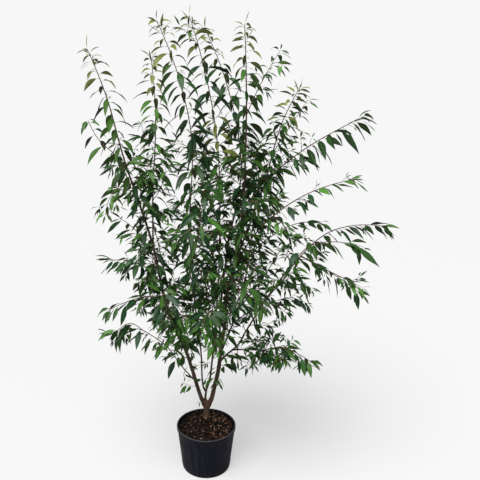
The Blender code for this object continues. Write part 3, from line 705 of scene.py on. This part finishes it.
def turnedAxes(rng, tilt):
    # three axes of a small thing that lies about level, turned at random
    heading = rng.uniform(0.0, fullTurn)
    level = np.array((math.cos(heading), math.sin(heading), rng.uniform(-tilt, tilt)))
    across = np.array((-math.sin(heading), math.cos(heading), rng.uniform(-tilt, tilt)))
    level = unit(level)
    across = unit(across - level * across.dot(level))
    return level, across, np.cross(level, across)


def anyPlace(rng, radius):
    away, heading = radius * math.sqrt(rng.random()), rng.uniform(0.0, fullTurn)
    return away * math.cos(heading), away * math.sin(heading)


def scatterChips():
    rng = random.Random(soil["seed"])
    radius = potInner(soil["level"]) - chips["wallGap"]
    outermost = radius + chips["overhang"]
    chip = chipShape()
    points = pointsOf(chip)
    kinds = {"dark": [], "brown": [], "tan": []}
    for _ in range(chips["count"]):
        x, y = anyPlace(rng, radius)
        if math.hypot(x - trunkX, y - trunkY) < chips["trunkGap"]:
            continue
        long = rng.uniform(*chips["long"]) * rng.uniform(0.5, 1.0)
        wide, thick = long * rng.uniform(*chips["wide"]), long * rng.uniform(*chips["thick"])
        half = np.array((long, wide, thick)) / 2
        turned = np.array(turnedAxes(rng, chips["tilt"]))
        away = math.hypot(x, y)
        if away + half[0] > outermost:
            x, y = x * (outermost - half[0]) / away, y * (outermost - half[0]) / away
        middle = np.array((x, y, soilTop(x, y) + half[2] * rng.uniform(0.1, 1.6)))
        elsewhere = not (x > chips["tanCorner"][0] and y > chips["tanCorner"][1])
        kind = "tan"
        if rng.random() >= chips["tanShare"] * chips["tanFactors"][elsewhere]:
            kind = "brown" if rng.random() < chips["brownShare"] else "dark"
        kinds[kind].append(middle + (points * half) @ turned)
    for kind, places in kinds.items():
        name = "chips_" + kind
        addPiece(name, joinedMesh(name, [(chip, np.array(places))], 35.0),
                 [chipFinish(name + "_bark", chips[kind])], "soil")


def scatterPerlite():
    rng = random.Random(soil["seed"] + 1)
    shape = bmesh.new()
    bmesh.ops.create_icosphere(shape, subdivisions=2, radius=1.0)
    for vert in shape.verts:
        vert.co += 0.30 * noise.noise_vector(vert.co * 1.9)
    grain = meshOf(shape, "grain")
    points = pointsOf(grain)
    places = []
    for _ in range(perlite["count"]):
        x, y = anyPlace(rng, perlite["reach"])
        size = rng.uniform(*perlite["size"])
        places.append(np.array((x, y, soilTop(x, y) + perlite["lift"])) + points * size)
    look, tree, place = newLook("perlite")
    mask, height = addPatches(tree, place, 700.0, 0.4, 0.7)
    colour = mixColours(tree, mask, perlite["colour"], perlite["shade"])
    finished(look, colour, 0.85, ((height, 0.0008, 1.0),))
    addPiece("perlite", joinedMesh("perlite", [(grain, np.array(places))]), [look], "soil")


makeSoil()
scatterChips()
scatterPerlite()
print("soil and chips made")


# bark: the trunk, boughs and stems with their relief

bark = {
    "thickWood": 0.010,
    "ringStep": (0.0030, 0.0090),   # on thick and thin wood
    "sides": (8, 18),               # of a limb's tube, on thin and thick wood
    "relief": 0.055,                # share of the radius
    "collar": 0.55,                 # a limb's swelling where it leaves its parent
    "collarLength": 0.016,
    "nodeStep": 0.045,
    "nodeSwell": 0.10,
    "tipTaper": 0.35,
    "trunkTube": (40, 60),          # sides and rings
    "stemTube": (24, 30),
    "forkVoxel": 0.0011,
    "forkReach": 0.085,             # how far up the stems the fork's mesh goes
    "forkMeets": 0.035,             # the stems' own tubes start here, inside it
    "forkSmoothing": 7,
    "ridges": ((0.16, 4, 0.7), (0.08, 7, 0.0)),     # on the root flare: size, count and turn
    "ridgeFade": 9.0,               # how fast they end, going up
    "cutFoot": 0.0012,              # the foot stays flat to this height
    "colour": (0.085, 0.042, 0.026),
    "dark": (0.030, 0.018, 0.013),
    "grey": (0.120, 0.100, 0.082),
    "lenticel": (0.270, 0.165, 0.095),
}
stems = [limb for limb in limbs if limb.parent == "trunk"]


def limbRings(limb, first):
    # ring shares that stand closer together on thick wood
    total = pathLength(axes[limb.name])
    shares = [first]
    while shares[-1] < 1.0:
        thin = 1.0 - min(limbRadius(limb, shares[-1]) / bark["thickWood"], 1.0)
        shares.append(shares[-1] + between(*bark["ringStep"], thin) / total)
    shares[-1] = 1.0
    return np.array(shares)


def limbRadii(limb, shares):
    # the plain taper, a collar at the parent's surface, and a swelling at each node
    along = shares * pathLength(axes[limb.name])
    parentRadius = trunk["topRadius"]
    if limb.parent != "trunk":
        parentRadius = limbRadius(limbNamed[limb.parent], limb.share)
    clear = np.maximum(along - parentRadius, 0.0)
    collar = 1.0 + bark["collar"] * np.exp(-clear / bark["collarLength"])
    beat = np.cos(along / bark["nodeStep"] * fullTurn)
    return limbRadius(limb, shares) * collar * (1.0 + bark["nodeSwell"] * np.maximum(beat, 0.0) ** 12)


def roughened(places, middles, grainPlaces, radii):
    # the bark's relief: points move along their own radius, in bands round the wood and long lumps
    out = unit(places - middles)
    lift = np.empty(len(places))
    for number, (x, y, z) in enumerate(grainPlaces):
        bands = noise.noise(Vector((x * 90, y * 90, z * 330)))
        lumps = noise.noise(Vector((x * 60, y * 60, z * 28 + 5)))
        lift[number] = 0.5 * bands + 0.9 * lumps
    return places + out * (lift * radii * bark["relief"])[:, None]


def limbShell(limb):
    # one limb as a tube, with its place on the bark for each point: round it, and along it
    total = pathLength(axes[limb.name])
    shares = limbRings(limb, bark["forkMeets"] / total if limb in stems else 0.0)
    centres = atShare(axes[limb.name], shares)
    radii = limbRadii(limb, shares)
    radii[-1] *= bark["tipTaper"]
    sides = round(between(*bark["sides"], limb.radius / bark["thickWood"]))
    tube = tubeShape(sides, len(shares))
    points, ring = ringsOf(tube, len(shares))
    places = tubesAlong(tube, centres[None], radii[None])[0]
    along = shares[ring] * total + limb.share * 7.0     # each limb reads another part of the pattern
    grainPlaces = np.column_stack([points[:, :2] * radii[ring, None], along])
    return tube, roughened(places, centres[ring], grainPlaces, radii[ring]), grainPlaces


def trunkShape():
    # the trunk with its root flare, and the ridges that run down into the roots
    shares = np.linspace(0.0, 1.0, bark["trunkTube"][1])
    tube = tubeShape(*bark["trunkTube"])
    centres = atShare(axes["trunk"], shares)
    points, ring = ringsOf(tube, len(shares))
    angle = np.arctan2(points[:, 1], points[:, 0])
    places = tubesAlong(tube, centres[None], trunkRadius(shares)[None])[0]
    ridges = sum(size * np.cos(count * angle + turn) for size, count, turn in bark["ridges"])
    lift = ridges * np.exp(-shares[ring] * bark["ridgeFade"])
    return tube, places + (places - centres[ring]) * lift[:, None]


def makeFork():
    # the trunk and the feet of its stems, grown together by a remesh and smoothed
    parts = [trunkShape()]
    for limb in stems:
        shares = np.linspace(0.0, bark["forkReach"] / pathLength(axes[limb.name]), bark["stemTube"][1])
        tube = tubeShape(*bark["stemTube"])
        centres = atShare(axes[limb.name], shares)
        parts.append((tube, tubesAlong(tube, centres[None], limbRadii(limb, shares)[None])[0]))
    holder = placeObject("fork", joinedMesh("fork", [(tube, places[None]) for tube, places in parts]))
    remesh = holder.modifiers.new("skin", "REMESH")
    remesh.mode = "VOXEL"
    remesh.voxel_size = bark["forkVoxel"]
    bpy.context.view_layer.update()
    shape = bmesh.new()
    shape.from_object(holder, bpy.context.evaluated_depsgraph_get())
    bpy.data.objects.remove(holder)
    for _ in range(bark["forkSmoothing"]):
        bmesh.ops.smooth_vert(shape, verts=shape.verts, factor=0.5,
                              use_axis_x=True, use_axis_y=True, use_axis_z=True)
    return meshOf(shape, "fork")


def forkPlaces(mesh):
    # the fork's points with their relief, each measured from the nearest axis in it
    points = pointsOf(mesh)
    middles = [axes["trunk"]]
    for limb in stems:
        near = np.linspace(0.02, bark["forkReach"], 60)
        middles.append(atShare(axes[limb.name], near / pathLength(axes[limb.name])))
    middles = np.concatenate(middles)
    nearest = np.concatenate([
        np.linalg.norm(block[:, None] - middles[None], axis=2).argmin(axis=1)
        for block in np.array_split(points, 40)
    ])
    out = points - middles[nearest]
    grainPlaces = np.column_stack([out[:, :2], points[:, 2]])
    radii = np.linalg.norm(out, axis=1)
    radii[points[:, 2] < trunk["path"][0][2] + bark["cutFoot"]] = 0.0
    return roughened(points, middles[nearest], grainPlaces, radii), grainPlaces


def barkFinish():
    # brown bark with darker patches, a grey film, and pale lenticels that lie across
    look, tree, place = newLook("cherry_bark", "barkPlace")
    tone, _ = addPatches(tree, place, (45.0, 45.0, 14.0), 0.35, 0.68, 4.0)
    film, _ = addPatches(tree, place, (90.0, 90.0, 22.0), 0.50, 0.75, 5.0)
    dashes, dashHeight = addPatches(tree, place, (110.0, 110.0, 620.0), 0.60, 0.68, 2.0)
    _, fineHeight = addPatches(tree, place, (300.0, 300.0, 1200.0), 0.4, 0.6)
    colour = mixColours(tree, tone, bark["colour"], bark["dark"])
    colour = mixColours(tree, spread(tree, film, 0.0, 0.55), colour, bark["grey"])
    colour = mixColours(tree, spread(tree, dashes, 0.0, 0.80), colour, bark["lenticel"])
    bumps = ((fineHeight, 0.0004, 0.6), (dashHeight, 0.0009, 0.8))
    return finished(look, colour, spread(tree, tone, 0.36, 0.58), bumps, 0.25)


def makeBark():
    fork = makeFork()
    shells = [(fork, *forkPlaces(fork))] + [limbShell(limb) for limb in limbs]
    mesh = joinedMesh("bark", [(shape, places[None]) for shape, places, _ in shells], 60.0,
                      barkPlace=np.concatenate([grain for _, _, grain in shells]))
    addPiece("bark", mesh, [barkFinish()], "trunk", *(f"{limb.name}_bough" for limb in limbs))


makeBark()
print("bark made")


# how the crown grows: leaves on the stems, twigs off them, and small twigs off those

crown = {
    "seed": 61,
    "turn": math.radians(137.5),
    "lowHeight": 0.70,              # the two heights that the pairs below go with
    "highHeight": 1.55,
    "leafLength": (0.066, 0.100),
    "leafWidth": (0.305, 0.255),    # share of the length
    "stemLeafStep": (0.023, 0.0145),
    "twigLeafSize": (0.92, 0.74),   # of the length of the stems' leaves
    "twigLeafStep": (0.016, 0.018),
    "twigStep": (0.048, 0.090),
    "twigTipLeaf": (0.040, 0.050),
    "stemTipLeaf": (0.066, 0.070),
    "twigFree": 0.65,               # how freely the leaves of twigs hang, 1 as on the stems
    "twigTop": 0.62,                # no twigs nearer a stem's tip than this
    "twigRadius": 0.0019,
    "twigTip": 0.0007,
    "sideRadius": 0.0021,
    "longRadius": 0.0017,
    "smallTwigRadius": 0.6,         # share of its twig's
    "smallTwigStep": 0.040,
    "smallTwigLength": (0.030, 0.060),
    "spurStep": 0.14,
    "spurLength": (0.012, 0.035),
    "spurLeaf": (0.022, 0.040),
    "spurRadii": (0.0009, 0.0006),
    "spurLimb": 0.6,                # only limbs longer than this have spurs
    "lowRadii": (0.0012, 0.0006),   # of the small shoots low on the stems
    "lowLeafRadii": (0.0011, 0.0006),   # where their leaves stand
    "lowLeafStep": 0.013,
    "lowTipLeaf": 0.035,
    "petiole": 0.011,
    "leaderHeight": 1.70,           # a limb that ends above this thins out to small leaves
    "tipLength": 0.20,              # the leaves shorten over this much of a leader
    "leaderTipLeaf": 0.055,
    "young": 0.16,                  # metres of a leader's tip that carry young leaves
    "youngShare": 0.85,
    "youngHeight": 1.64,            # no yellow leaves lower than this
    "freshLimbs": {"front_left": 0.38, "front_centre": 0.38},   # share of their twigs that are fresh green
}
# one longer side shoot each: its share of the limb, and the places it bends through in millimetres
sideShoots = {
    "left_tall": (0.645, (-370, -60, 1340), (-420, -80, 1240)),
    "right_tall": (0.8, (220, -70, 1770), (285, -100, 1885)),
    "right_upper": (0.62, (365, 85, 1600), (430, 70, 1705)),
    "right_fall": (0.45, (620, 20, 930), (700, 10, 890)),
}
# small shoots low on the stems: the stem, its share, the leaves' size, and the places in millimetres
lowShoots = (
    ("left_tall", 0.07, 0.8, (-78, 58, 381), (-106, 45, 404)),
    ("left_tall", 0.092, 0.7, (-66, 60, 415), (-74, 58, 417)),
    ("left_tall", 0.028, 0.55, (-27, 60, 300), (-30, 58, 298)),
    ("mid_left", 0.11, 0.75, (-43, 50, 549), (-67, 45, 546)),
    ("mid_left", 0.085, 0.75, (-34, 55, 490), (-48, 50, 487)),
    ("centre_tall", 0.075, 0.6, (-6, 60, 415), (-20, 55, 412)),
    ("right_tall", 0.09, 0.9, (48, 30, 440), (41, 5, 442)),
    ("right_tall", 0.075, 0.8, (52, 35, 415), (60, 10, 420)),
    ("right_tall", 0.15, 0.95, (98, 50, 526), (130, 35, 541), (158, 20, 528)),
    ("centre_tall", 0.2, 0.85, (13, 55, 640), (-1, 50, 640)),
    ("centre_tall", 0.165, 0.6, (20, 55, 580), (12, 50, 585)),
    ("right_tall", 0.22, 1.25, (73, 20, 667), (85, -30, 693)),
    ("right_tall", 0.24, 1.0, (106, 40, 679), (124, 30, 688)),
    ("right_tall", 0.13, 0.95, (80, 30, 500), (105, 10, 505)),
    ("right_tall", 0.165, 1.0, (85, 35, 545), (75, 0, 560)),
    ("right_tall", 0.185, 0.9, (60, 30, 575), (45, 10, 580)),
    ("left_tall", 0.18, 1.1, (-120, 30, 560), (-135, 0, 565)),
    ("left_tall", 0.14, 0.8, (-75, 40, 500), (-65, 20, 505)),
    ("centre_tall", 0.12, 0.7, (10, 60, 500), (0, 45, 505)),
    ("right_tall", 0.125, 0.9, (60, 30, 490), (50, 0, 480)),
    ("right_long", 0.08, 0.95, (120, 40, 560), (135, 20, 545)),
    ("right_long", 0.12, 0.95, (150, 40, 600), (170, 10, 590)),
    ("right_low_arc", 0.97, 1.3, (600, -220, 1142), (628, -215, 1128)),
)
# longer shoots with their own twigs
longShoots = (
    ("right_long", 0.3, (300, 20, 815), (380, 0, 847), (455, -10, 820)),
    ("low_right", 0.75, (400, -110, 615), (440, -115, 575)),
    ("low_left", 0.72, (-340, -20, 700), (-365, -20, 665)),
    ("left_inner", 0.4, (-260, 60, 1350), (-300, 50, 1440), (-310, 50, 1500)),
    ("left_inner", 0.25, (-200, 20, 1330), (-170, -20, 1420), (-165, -30, 1500)),
    ("left_tall", 0.62, (-270, -30, 1360), (-240, -50, 1440), (-235, -60, 1500)),
    ("low_left", 0.9, (-390, -50, 695), (-410, -60, 660)),
    ("centre_tall", 0.93, (-60, 0, 1950), (-105, 0, 1985)),
    ("right_long", 0.45, (410, -10, 935), (465, -20, 890)),
)
# the share of sprays in each tint, at the two heights; the tints vary from spray to spray, and the darker
# ones lie more often low down as painted shade of the lower crown
tintShares = {
    "deep": (0.34, 0.24),
    "dark": (0.36, 0.28),
    "mid": (0.24, 0.33),
    "fresh": (0.06, 0.14),
    "young": (0.00, 0.01),
}
Leaf = namedtuple("Leaf", "root stalk start finish hint length width roll twist petiole tint")
Twig = namedtuple("Twig", "places radius tipRadius")
leaves = []
twigs = []


def heightShare(height):
    return (height - crown["lowHeight"]) / (crown["highHeight"] - crown["lowHeight"])


def byHeight(name, height):
    return between(*crown[name], heightShare(height))


def addLeaf(rng, stem, share, angle, radius, length, tint, ease=1.0):
    # ease is how freely the leaf hangs: 1 in full growth, 0 for the young ones at a tip
    along = directionAt(stem, share)
    level = 1.0 - abs(along[2])
    held = 1.0 - ease
    out = outward(along, angle)
    middle = atShare(stem, share)
    stalk = unit(along * (0.45 + 0.8 * held) + out)
    hang = rng.uniform(0.8 - 0.9 * level, 2.6 - 1.4 * level) * ease + rng.uniform(0.0, 0.5) * held
    forward = 0.10 + 1.1 * level + 0.30 * held
    finish = unit(out * (0.80 - 0.25 * level * ease) + along * forward + down * hang)
    start = unit(stalk + finish * 0.8 * ease)
    hint = along * (0.5 - 0.4 * level) + out * 0.45 - down
    narrow = 1.0 - 0.35 * (1.0 - min(ease + 0.3, 1.0))
    width = length * byHeight("leafWidth", middle[2]) * rng.uniform(0.85, 1.12) * narrow
    leaves.append(Leaf(
        middle + out * radius * 0.6, stalk, start, finish, hint, length, width,
        rng.uniform(-1.0, 1.0), rng.uniform(-0.6, 0.6), crown["petiole"] * min(length / 0.07, 1.2), tint,
    ))


def leafRun(rng, stem, first, step, radii, tintAt, size=1.0, tipLength=0.10, less=0.50, free=1.0):
    # leaves shorten by less and crowd together over tipLength; on a level shoot they stand in two ranks
    total = pathLength(stem)
    place = first * total + rng.uniform(0.0, step)
    angle = rng.uniform(0.0, fullTurn)
    side = rng.choice((0.0, math.pi))
    while place < total - 0.004:
        share = place / total
        nearTip = 1.0 - min((total - place) / tipLength, 1.0)
        length = byHeight("leafLength", atShare(stem, share)[2]) * size * (1.0 - less * nearTip)
        apart = 1.0 - 0.8 * less * nearTip
        turned = angle
        if abs(directionAt(stem, share)[2]) < 0.72:
            below = 0.25 if side == 0.0 else -0.25
            turned = side - below + rng.uniform(-0.7, 0.7)
            if free == 1.0:
                length *= 1.1
                apart *= 1.4
        length *= rng.uniform(0.75, 1.15)
        ease = free * (1.0 - 1.2 * less * nearTip)
        addLeaf(rng, stem, share, turned, between(*radii, share), length, tintAt(share), ease)
        place += step * rng.uniform(0.7, 1.3) * apart
        angle += crown["turn"] + rng.uniform(-0.35, 0.35)
        side = math.pi - side


def rosette(rng, stem, count, length, tint, ease=(0.1, 0.6)):
    # the narrow young leaves round a tip, held out and curving down
    angle = rng.uniform(0.0, fullTurn)
    for place in range(count):
        share = 0.999 - 0.008 * place
        freely = rng.uniform(*ease) if place else ease[0]
        addLeaf(rng, stem, share, angle, 0.0008, length * rng.uniform(0.65, 1.1), tint, freely)
        angle += crown["turn"]


def twigFrom(rng, stem, share, angle, length, rise=0.35):
    root = atShare(stem, share)
    along = directionAt(stem, share)
    out = outward(along, angle)
    middle = root + unit(along * 0.55 + out * 0.8) * length * 0.5
    tip = middle + unit(along * rise + out * 0.8 + down * 0.25) * length * 0.5
    return smoothPath((root, middle, tip), twigPoints)


def shootFrom(name, share, bends, count=twigPoints):
    return smoothPath((atShare(axes[name], share), *inMetres(bends)), count)


# a tint drawn at random for a spray, darker more often low down: painted shade of the lower crown
def sprayTint(rng, height):
    weights = [between(*pair, heightShare(height)) for pair in tintShares.values()]
    draw = rng.random() * sum(weights)
    for tint, weight in zip(tintShares, weights):
        draw -= weight
        if draw <= 0.0:
            break
    return tint


def growTwig(rng, twig, radius, small=False, full=1.0, freshShare=0.0):
    height = twig[0][2]
    tint = "fresh" if rng.random() < freshShare else sprayTint(rng, height)
    radii = (radius, crown["twigTip"])
    twigs.append(Twig(twig, *radii))
    step = byHeight("twigLeafStep", height) / math.sqrt(full)
    size = byHeight("twigLeafSize", height) * (0.88 if small else 1.0)
    leafRun(rng, twig, 0.22, step, radii, lambda share: tint, size, 0.03, 0.4, crown["twigFree"])
    rosette(rng, twig, 3, byHeight("twigTipLeaf", height), tint)
    if small:
        return
    count = int(pathLength(twig) * 0.6 * full / crown["smallTwigStep"])
    angle = rng.uniform(0.0, fullTurn)
    for place in range(count):
        share = 0.30 + 0.55 * (place + rng.uniform(0.2, 0.8)) / count
        length = rng.uniform(*crown["smallTwigLength"])
        side = twigFrom(rng, twig, share, angle, length)
        growTwig(rng, side, radius * crown["smallTwigRadius"], True, full, freshShare)
        angle += crown["turn"]


def growTwigs(rng, limb, stem, total):
    share, angle = limb.leafy + 0.02, rng.uniform(0.0, fullTurn)
    freshShare = crown["freshLimbs"].get(limb.name, 0.0)
    while share < limb.bare + (1.0 - limb.bare) * crown["twigTop"]:
        along = max(share - limb.bare, 0.0) / (1.0 - limb.bare)
        length = limb.twig * (1.0 - 0.45 * along) * rng.uniform(0.65, 1.15) * limb.reach
        radius = min(crown["twigRadius"], limbRadius(limb, share) * 0.7)
        growTwig(rng, twigFrom(rng, stem, share, angle, length), radius, False, limb.full, freshShare)
        share += byHeight("twigStep", atShare(stem, share)[2]) / limb.full * rng.uniform(0.7, 1.3) / total
        angle += crown["turn"]


def growSpurs(rng, limb, stem, total):
    # short spurs with a few small leaves, on the long limbs
    share = limb.bare + 0.15
    while share < 0.97 and total > crown["spurLimb"]:
        spur = twigFrom(rng, stem, share, rng.uniform(0.0, fullTurn), rng.uniform(*crown["spurLength"]), 0.9)
        twigs.append(Twig(spur, *crown["spurRadii"]))
        tint = "young" if spur[0][2] > crown["youngHeight"] and rng.random() < 0.5 else "mid"
        rosette(rng, spur, rng.choice((3, 4, 5)), rng.uniform(*crown["spurLeaf"]), tint)
        share += crown["spurStep"] * rng.uniform(0.6, 1.4) / total


def growLimb(rng, limb):
    stem = axes[limb.name]
    total = pathLength(stem)
    tipHeight = stem[-1][2]
    growTwigs(rng, limb, stem, total)
    if limb.name in sideShoots:
        share, *bends = sideShoots[limb.name]
        growTwig(rng, shootFrom(limb.name, share, bends, 61), crown["sideRadius"])
    # the leaves on the stem itself change their tint along it, nine times
    tints = [sprayTint(rng, atShare(stem, share)[2]) for share in np.linspace(0.0, 1.0, 9)]
    youngFrom = 1.0 - crown["young"] / total if tipHeight > crown["youngHeight"] else 1.0

    def stemTint(share):
        isYoung = share > youngFrom and rng.random() < crown["youngShare"]
        return "young" if isYoung else tints[int(share * 8.99)]

    radii = (limbRadius(limb, limb.bare), trunk["limbTip"])
    step = byHeight("stemLeafStep", stem[int(limb.bare * (limbPoints - 1))][2] + 0.3) / limb.full
    if tipHeight > crown["leaderHeight"]:
        leafRun(rng, stem, limb.leafy + 0.02, step, radii, stemTint, 1.0, crown["tipLength"])
        rosette(rng, stem, 7, crown["leaderTipLeaf"], "young", (-0.7, 0.6))
    else:
        leafRun(rng, stem, limb.leafy + 0.02, step, radii, stemTint, limb.size, 0.10, 0.15)
        length = byHeight("stemTipLeaf", tipHeight) * limb.size
        rosette(rng, stem, 4, length, rng.choice(("dark", "mid", "fresh")), (0.7, 0.9))
    growSpurs(rng, limb, stem, total)


def growLowShoots(rng):
    for name, share, size, *bends in lowShoots:
        shoot = shootFrom(name, share, bends)
        tint = rng.choice(("dark", "dark", "mid", "mid", "fresh"))
        twigs.append(Twig(shoot, *crown["lowRadii"]))
        leafRun(rng, shoot, 0.30, crown["lowLeafStep"], crown["lowLeafRadii"], lambda place: tint, size, 0.02)
        rosette(rng, shoot, 2, crown["lowTipLeaf"], tint)
    for name, share, *bends in longShoots:
        growTwig(rng, shootFrom(name, share, bends), crown["longRadius"])


for number, limb in enumerate(limbs):
    growLimb(random.Random(crown["seed"] + number), limb)
growLowShoots(random.Random(crown["seed"] + 500))
print("crown grown:", len(twigs), "twigs,", len(leaves), "leaves")


# twigs and leaf stalks

twigTubes = {
    "rings": 8,
    "sides": 6,
    "colour": (0.110, 0.062, 0.035),
    "dark": (0.060, 0.040, 0.022),
}
stalkTubes = {
    "rings": 4,
    "sides": 4,
    "radius": 0.0085,       # share of the leaf's length
    "ends": (1.25, 0.85),   # of the radius, at the wood and at the blade
    "colour": (0.160, 0.150, 0.045),
    "dark": (0.150, 0.070, 0.035),
}


def addTubes(name, lookName, facts, centres, radii):
    look, tree, place = newLook(lookName)
    tone, _ = addPatches(tree, place, (60.0, 60.0, 90.0), 0.35, 0.70, 4.0)
    _, fineHeight = addPatches(tree, place, 500.0, 0.4, 0.6, 2.0)
    colour = mixColours(tree, tone, facts["colour"], facts["dark"])
    finished(look, colour, spread(tree, tone, 0.45, 0.65), ((fineHeight, 0.0004, 1.0),))
    tube = tubeShape(facts["sides"], facts["rings"])
    addPiece(name, joinedMesh(name, [(tube, tubesAlong(tube, centres, radii))]), [look], *masses)


def makeTwigs():
    shares = np.linspace(0.0, 1.0, twigTubes["rings"])
    centres = np.array([atShare(twig.places, shares) for twig in twigs])
    radii = np.array([twig.radius + (twig.tipRadius - twig.radius) * shares for twig in twigs])
    addTubes("twigs", "young_wood", twigTubes, centres, radii)


def makeStalks(roots, bases, lengths):
    # a leaf's stalk narrows between the wood and its blade
    rings = stalkTubes["rings"]
    shares = np.linspace(0.0, 1.0, rings)[None, :, None]
    centres = roots[:, None] * (1.0 - shares) + bases[:, None] * shares
    radii = (lengths * stalkTubes["radius"])[:, None] * np.linspace(*stalkTubes["ends"], rings)
    addTubes("leaf_stalks", "leaf_stalk", stalkTubes, centres, radii)


makeTwigs()
print("twigs made")


# leaves

blade = {
    "rows": 7,
    "widest": 0.42,          # share of the length from the base
    "thickness": 0.00035,
    "fold": (0.05, 0.38),    # radians that each half is raised from the midrib
    "wave": 0.10,            # of the half width
    "upper": (0.34, 0.52),   # roughness of the upper side
    "under": (0.60, 0.72),
}
# upper side, underside
leafTints = {
    "deep": ((0.010, 0.037, 0.012), (0.032, 0.070, 0.027)),
    "dark": ((0.015, 0.049, 0.009), (0.038, 0.080, 0.024)),
    "mid": ((0.030, 0.078, 0.012), (0.052, 0.106, 0.026)),
    "fresh": ((0.050, 0.135, 0.022), (0.076, 0.155, 0.036)),
    "young": ((0.128, 0.152, 0.034), (0.135, 0.162, 0.048)),
}


def leafOutline(share):
    # half the width as a share of the widest: narrowing to both ends, with a long fine point
    widest = blade["widest"]
    if share < widest:
        return 1.0 - (1.0 - share / widest) ** 1.8
    return (1.0 - ((share - widest) / (1.0 - widest)) ** 1.6) ** 1.1


def leafShape():
    # across is -1 to 1, along 0 to 1; the underside is the midrib's points a step lower
    shape = bmesh.new()
    bmesh.ops.create_grid(shape, x_segments=2, y_segments=blade["rows"], size=0.5)
    for vert in shape.verts:
        vert.co.y += 0.5
        atEnd = vert.co.y < 1e-4 or vert.co.y > 1.0 - 1e-4
        vert.co.x = 0.0 if atEnd else vert.co.x * 2.0
    mergeDoubles(shape)
    facesOutwards(shape)
    if sum(face.normal.z for face in shape.faces) < 0.0:
        bmesh.ops.reverse_faces(shape, faces=shape.faces)
    copied = bmesh.ops.duplicate(shape, geom=list(shape.faces))
    lower = [item for item in copied["geom"] if isinstance(item, bmesh.types.BMFace)]
    bmesh.ops.reverse_faces(shape, faces=lower)
    for face in lower:
        face.material_index = 1
    for vert in {vert for face in lower for vert in face.verts}:
        if abs(vert.co.x) < 0.5 and 1e-4 < vert.co.y < 1.0 - 1e-4:
            vert.co.z = -1.0
    mergeDoubles(shape)
    return meshOf(shape, "leaf")


def bentLeaves(template, chosen, rng):
    # each leaf's midrib turns from its first direction to the one it hangs in
    points, rows, count = pointsOf(template), blade["rows"], len(chosen)
    facts = [np.array(column, float) for column in zip(*(leaf[:-1] for leaf in chosen))]
    root, stalk, start, finish, hint, length, width, roll, twist, petiole = facts
    length, width, petiole = length[:, None], width[:, None], petiole[:, None]
    stalk, start, finish = unit(stalk), unit(start), unit(finish)
    base = root + unit(stalk + start) * petiole
    fold = np.tan(rng.uniform(*blade["fold"], count))[:, None]
    waves = rng.uniform(0.0, fullTurn, count)

    def direction(share):
        turned = 1.0 - (1.0 - share) ** 1.5
        return unit(start * (1.0 - turned) + finish * turned)

    centres = [base]
    for row in range(rows):
        centres.append(centres[-1] + direction((row + 0.5) / rows) * length / rows)
    side = unit(np.cross(start, hint))
    face = np.cross(side, start)
    placed = np.empty((count, len(points), 3))
    for row, centre in enumerate(centres):
        share = row / rows
        along = direction(share)
        angle = (roll + twist * share)[:, None]
        turned = side * np.cos(angle) + face * np.sin(angle)
        across = unit(turned - along * (turned * along).sum(axis=1, keepdims=True))
        up = np.cross(across, along)
        half = 0.5 * width * leafOutline(share)
        wave = blade["wave"] * np.sin(waves + share * 9.0)[:, None]
        for index in np.flatnonzero(np.abs(points[:, 1] - share) < 0.01):
            sideways, _, under = points[index]
            raised = (fold * abs(sideways) + wave * sideways) * half + under * blade["thickness"]
            placed[:, index] = centre + across * sideways * half + up * raised
    return placed, root, base


def leafFinish(name, colour, gloss):
    # each leaf has its own tone, and a pale midrib
    look, tree, place = newLook(name)
    colours = mixColours(tree, attributeOf(tree, "tone", "Fac"), shades(colour, 0.55), shades(colour, 1.55))
    midrib = spread(tree, attributeOf(tree, "rib", "Fac"), 0.0, 0.55, 0.80)
    colours = mixColours(tree, midrib, colours, shades(colour, 2.4, 0.02))
    patchy, height = addPatches(tree, place, 110.0, 0.35, 0.70)
    return finished(look, colours, spread(tree, patchy, *gloss), ((height, 0.0015, 0.5),), 0.18)


def makeLeaves():
    template = leafShape()
    points = pointsOf(template)
    rng = np.random.default_rng(crown["seed"])
    roots, bases, lengths = [], [], []
    for tint, colours in leafTints.items():
        name = "leaves_" + tint
        chosen = [leaf for leaf in leaves if leaf.tint == tint]
        placed, root, base = bentLeaves(template, chosen, rng)
        tones = np.repeat(rng.uniform(0.0, 1.0, len(chosen)), len(points))
        ribs = np.tile(1.0 - np.abs(points[:, 0]), len(chosen))
        looks = [leafFinish(f"{name}_{side}", colour, blade[side])
                 for side, colour in zip(("upper", "under"), colours)]
        addPiece(name, joinedMesh(name, [(template, placed)], 30.0, tone=tones, rib=ribs), looks, *masses)
        roots.append(root)
        bases.append(base)
        lengths.extend(leaf.length for leaf in chosen)
        print(name, len(chosen), "leaves")
    makeStalks(np.concatenate(roots), np.concatenate(bases), np.array(lengths))


makeLeaves()
print("leaves made")

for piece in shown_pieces():
    piece.data.calc_loop_triangles()
    print(piece.name, len(piece.data.loop_triangles), "triangles")
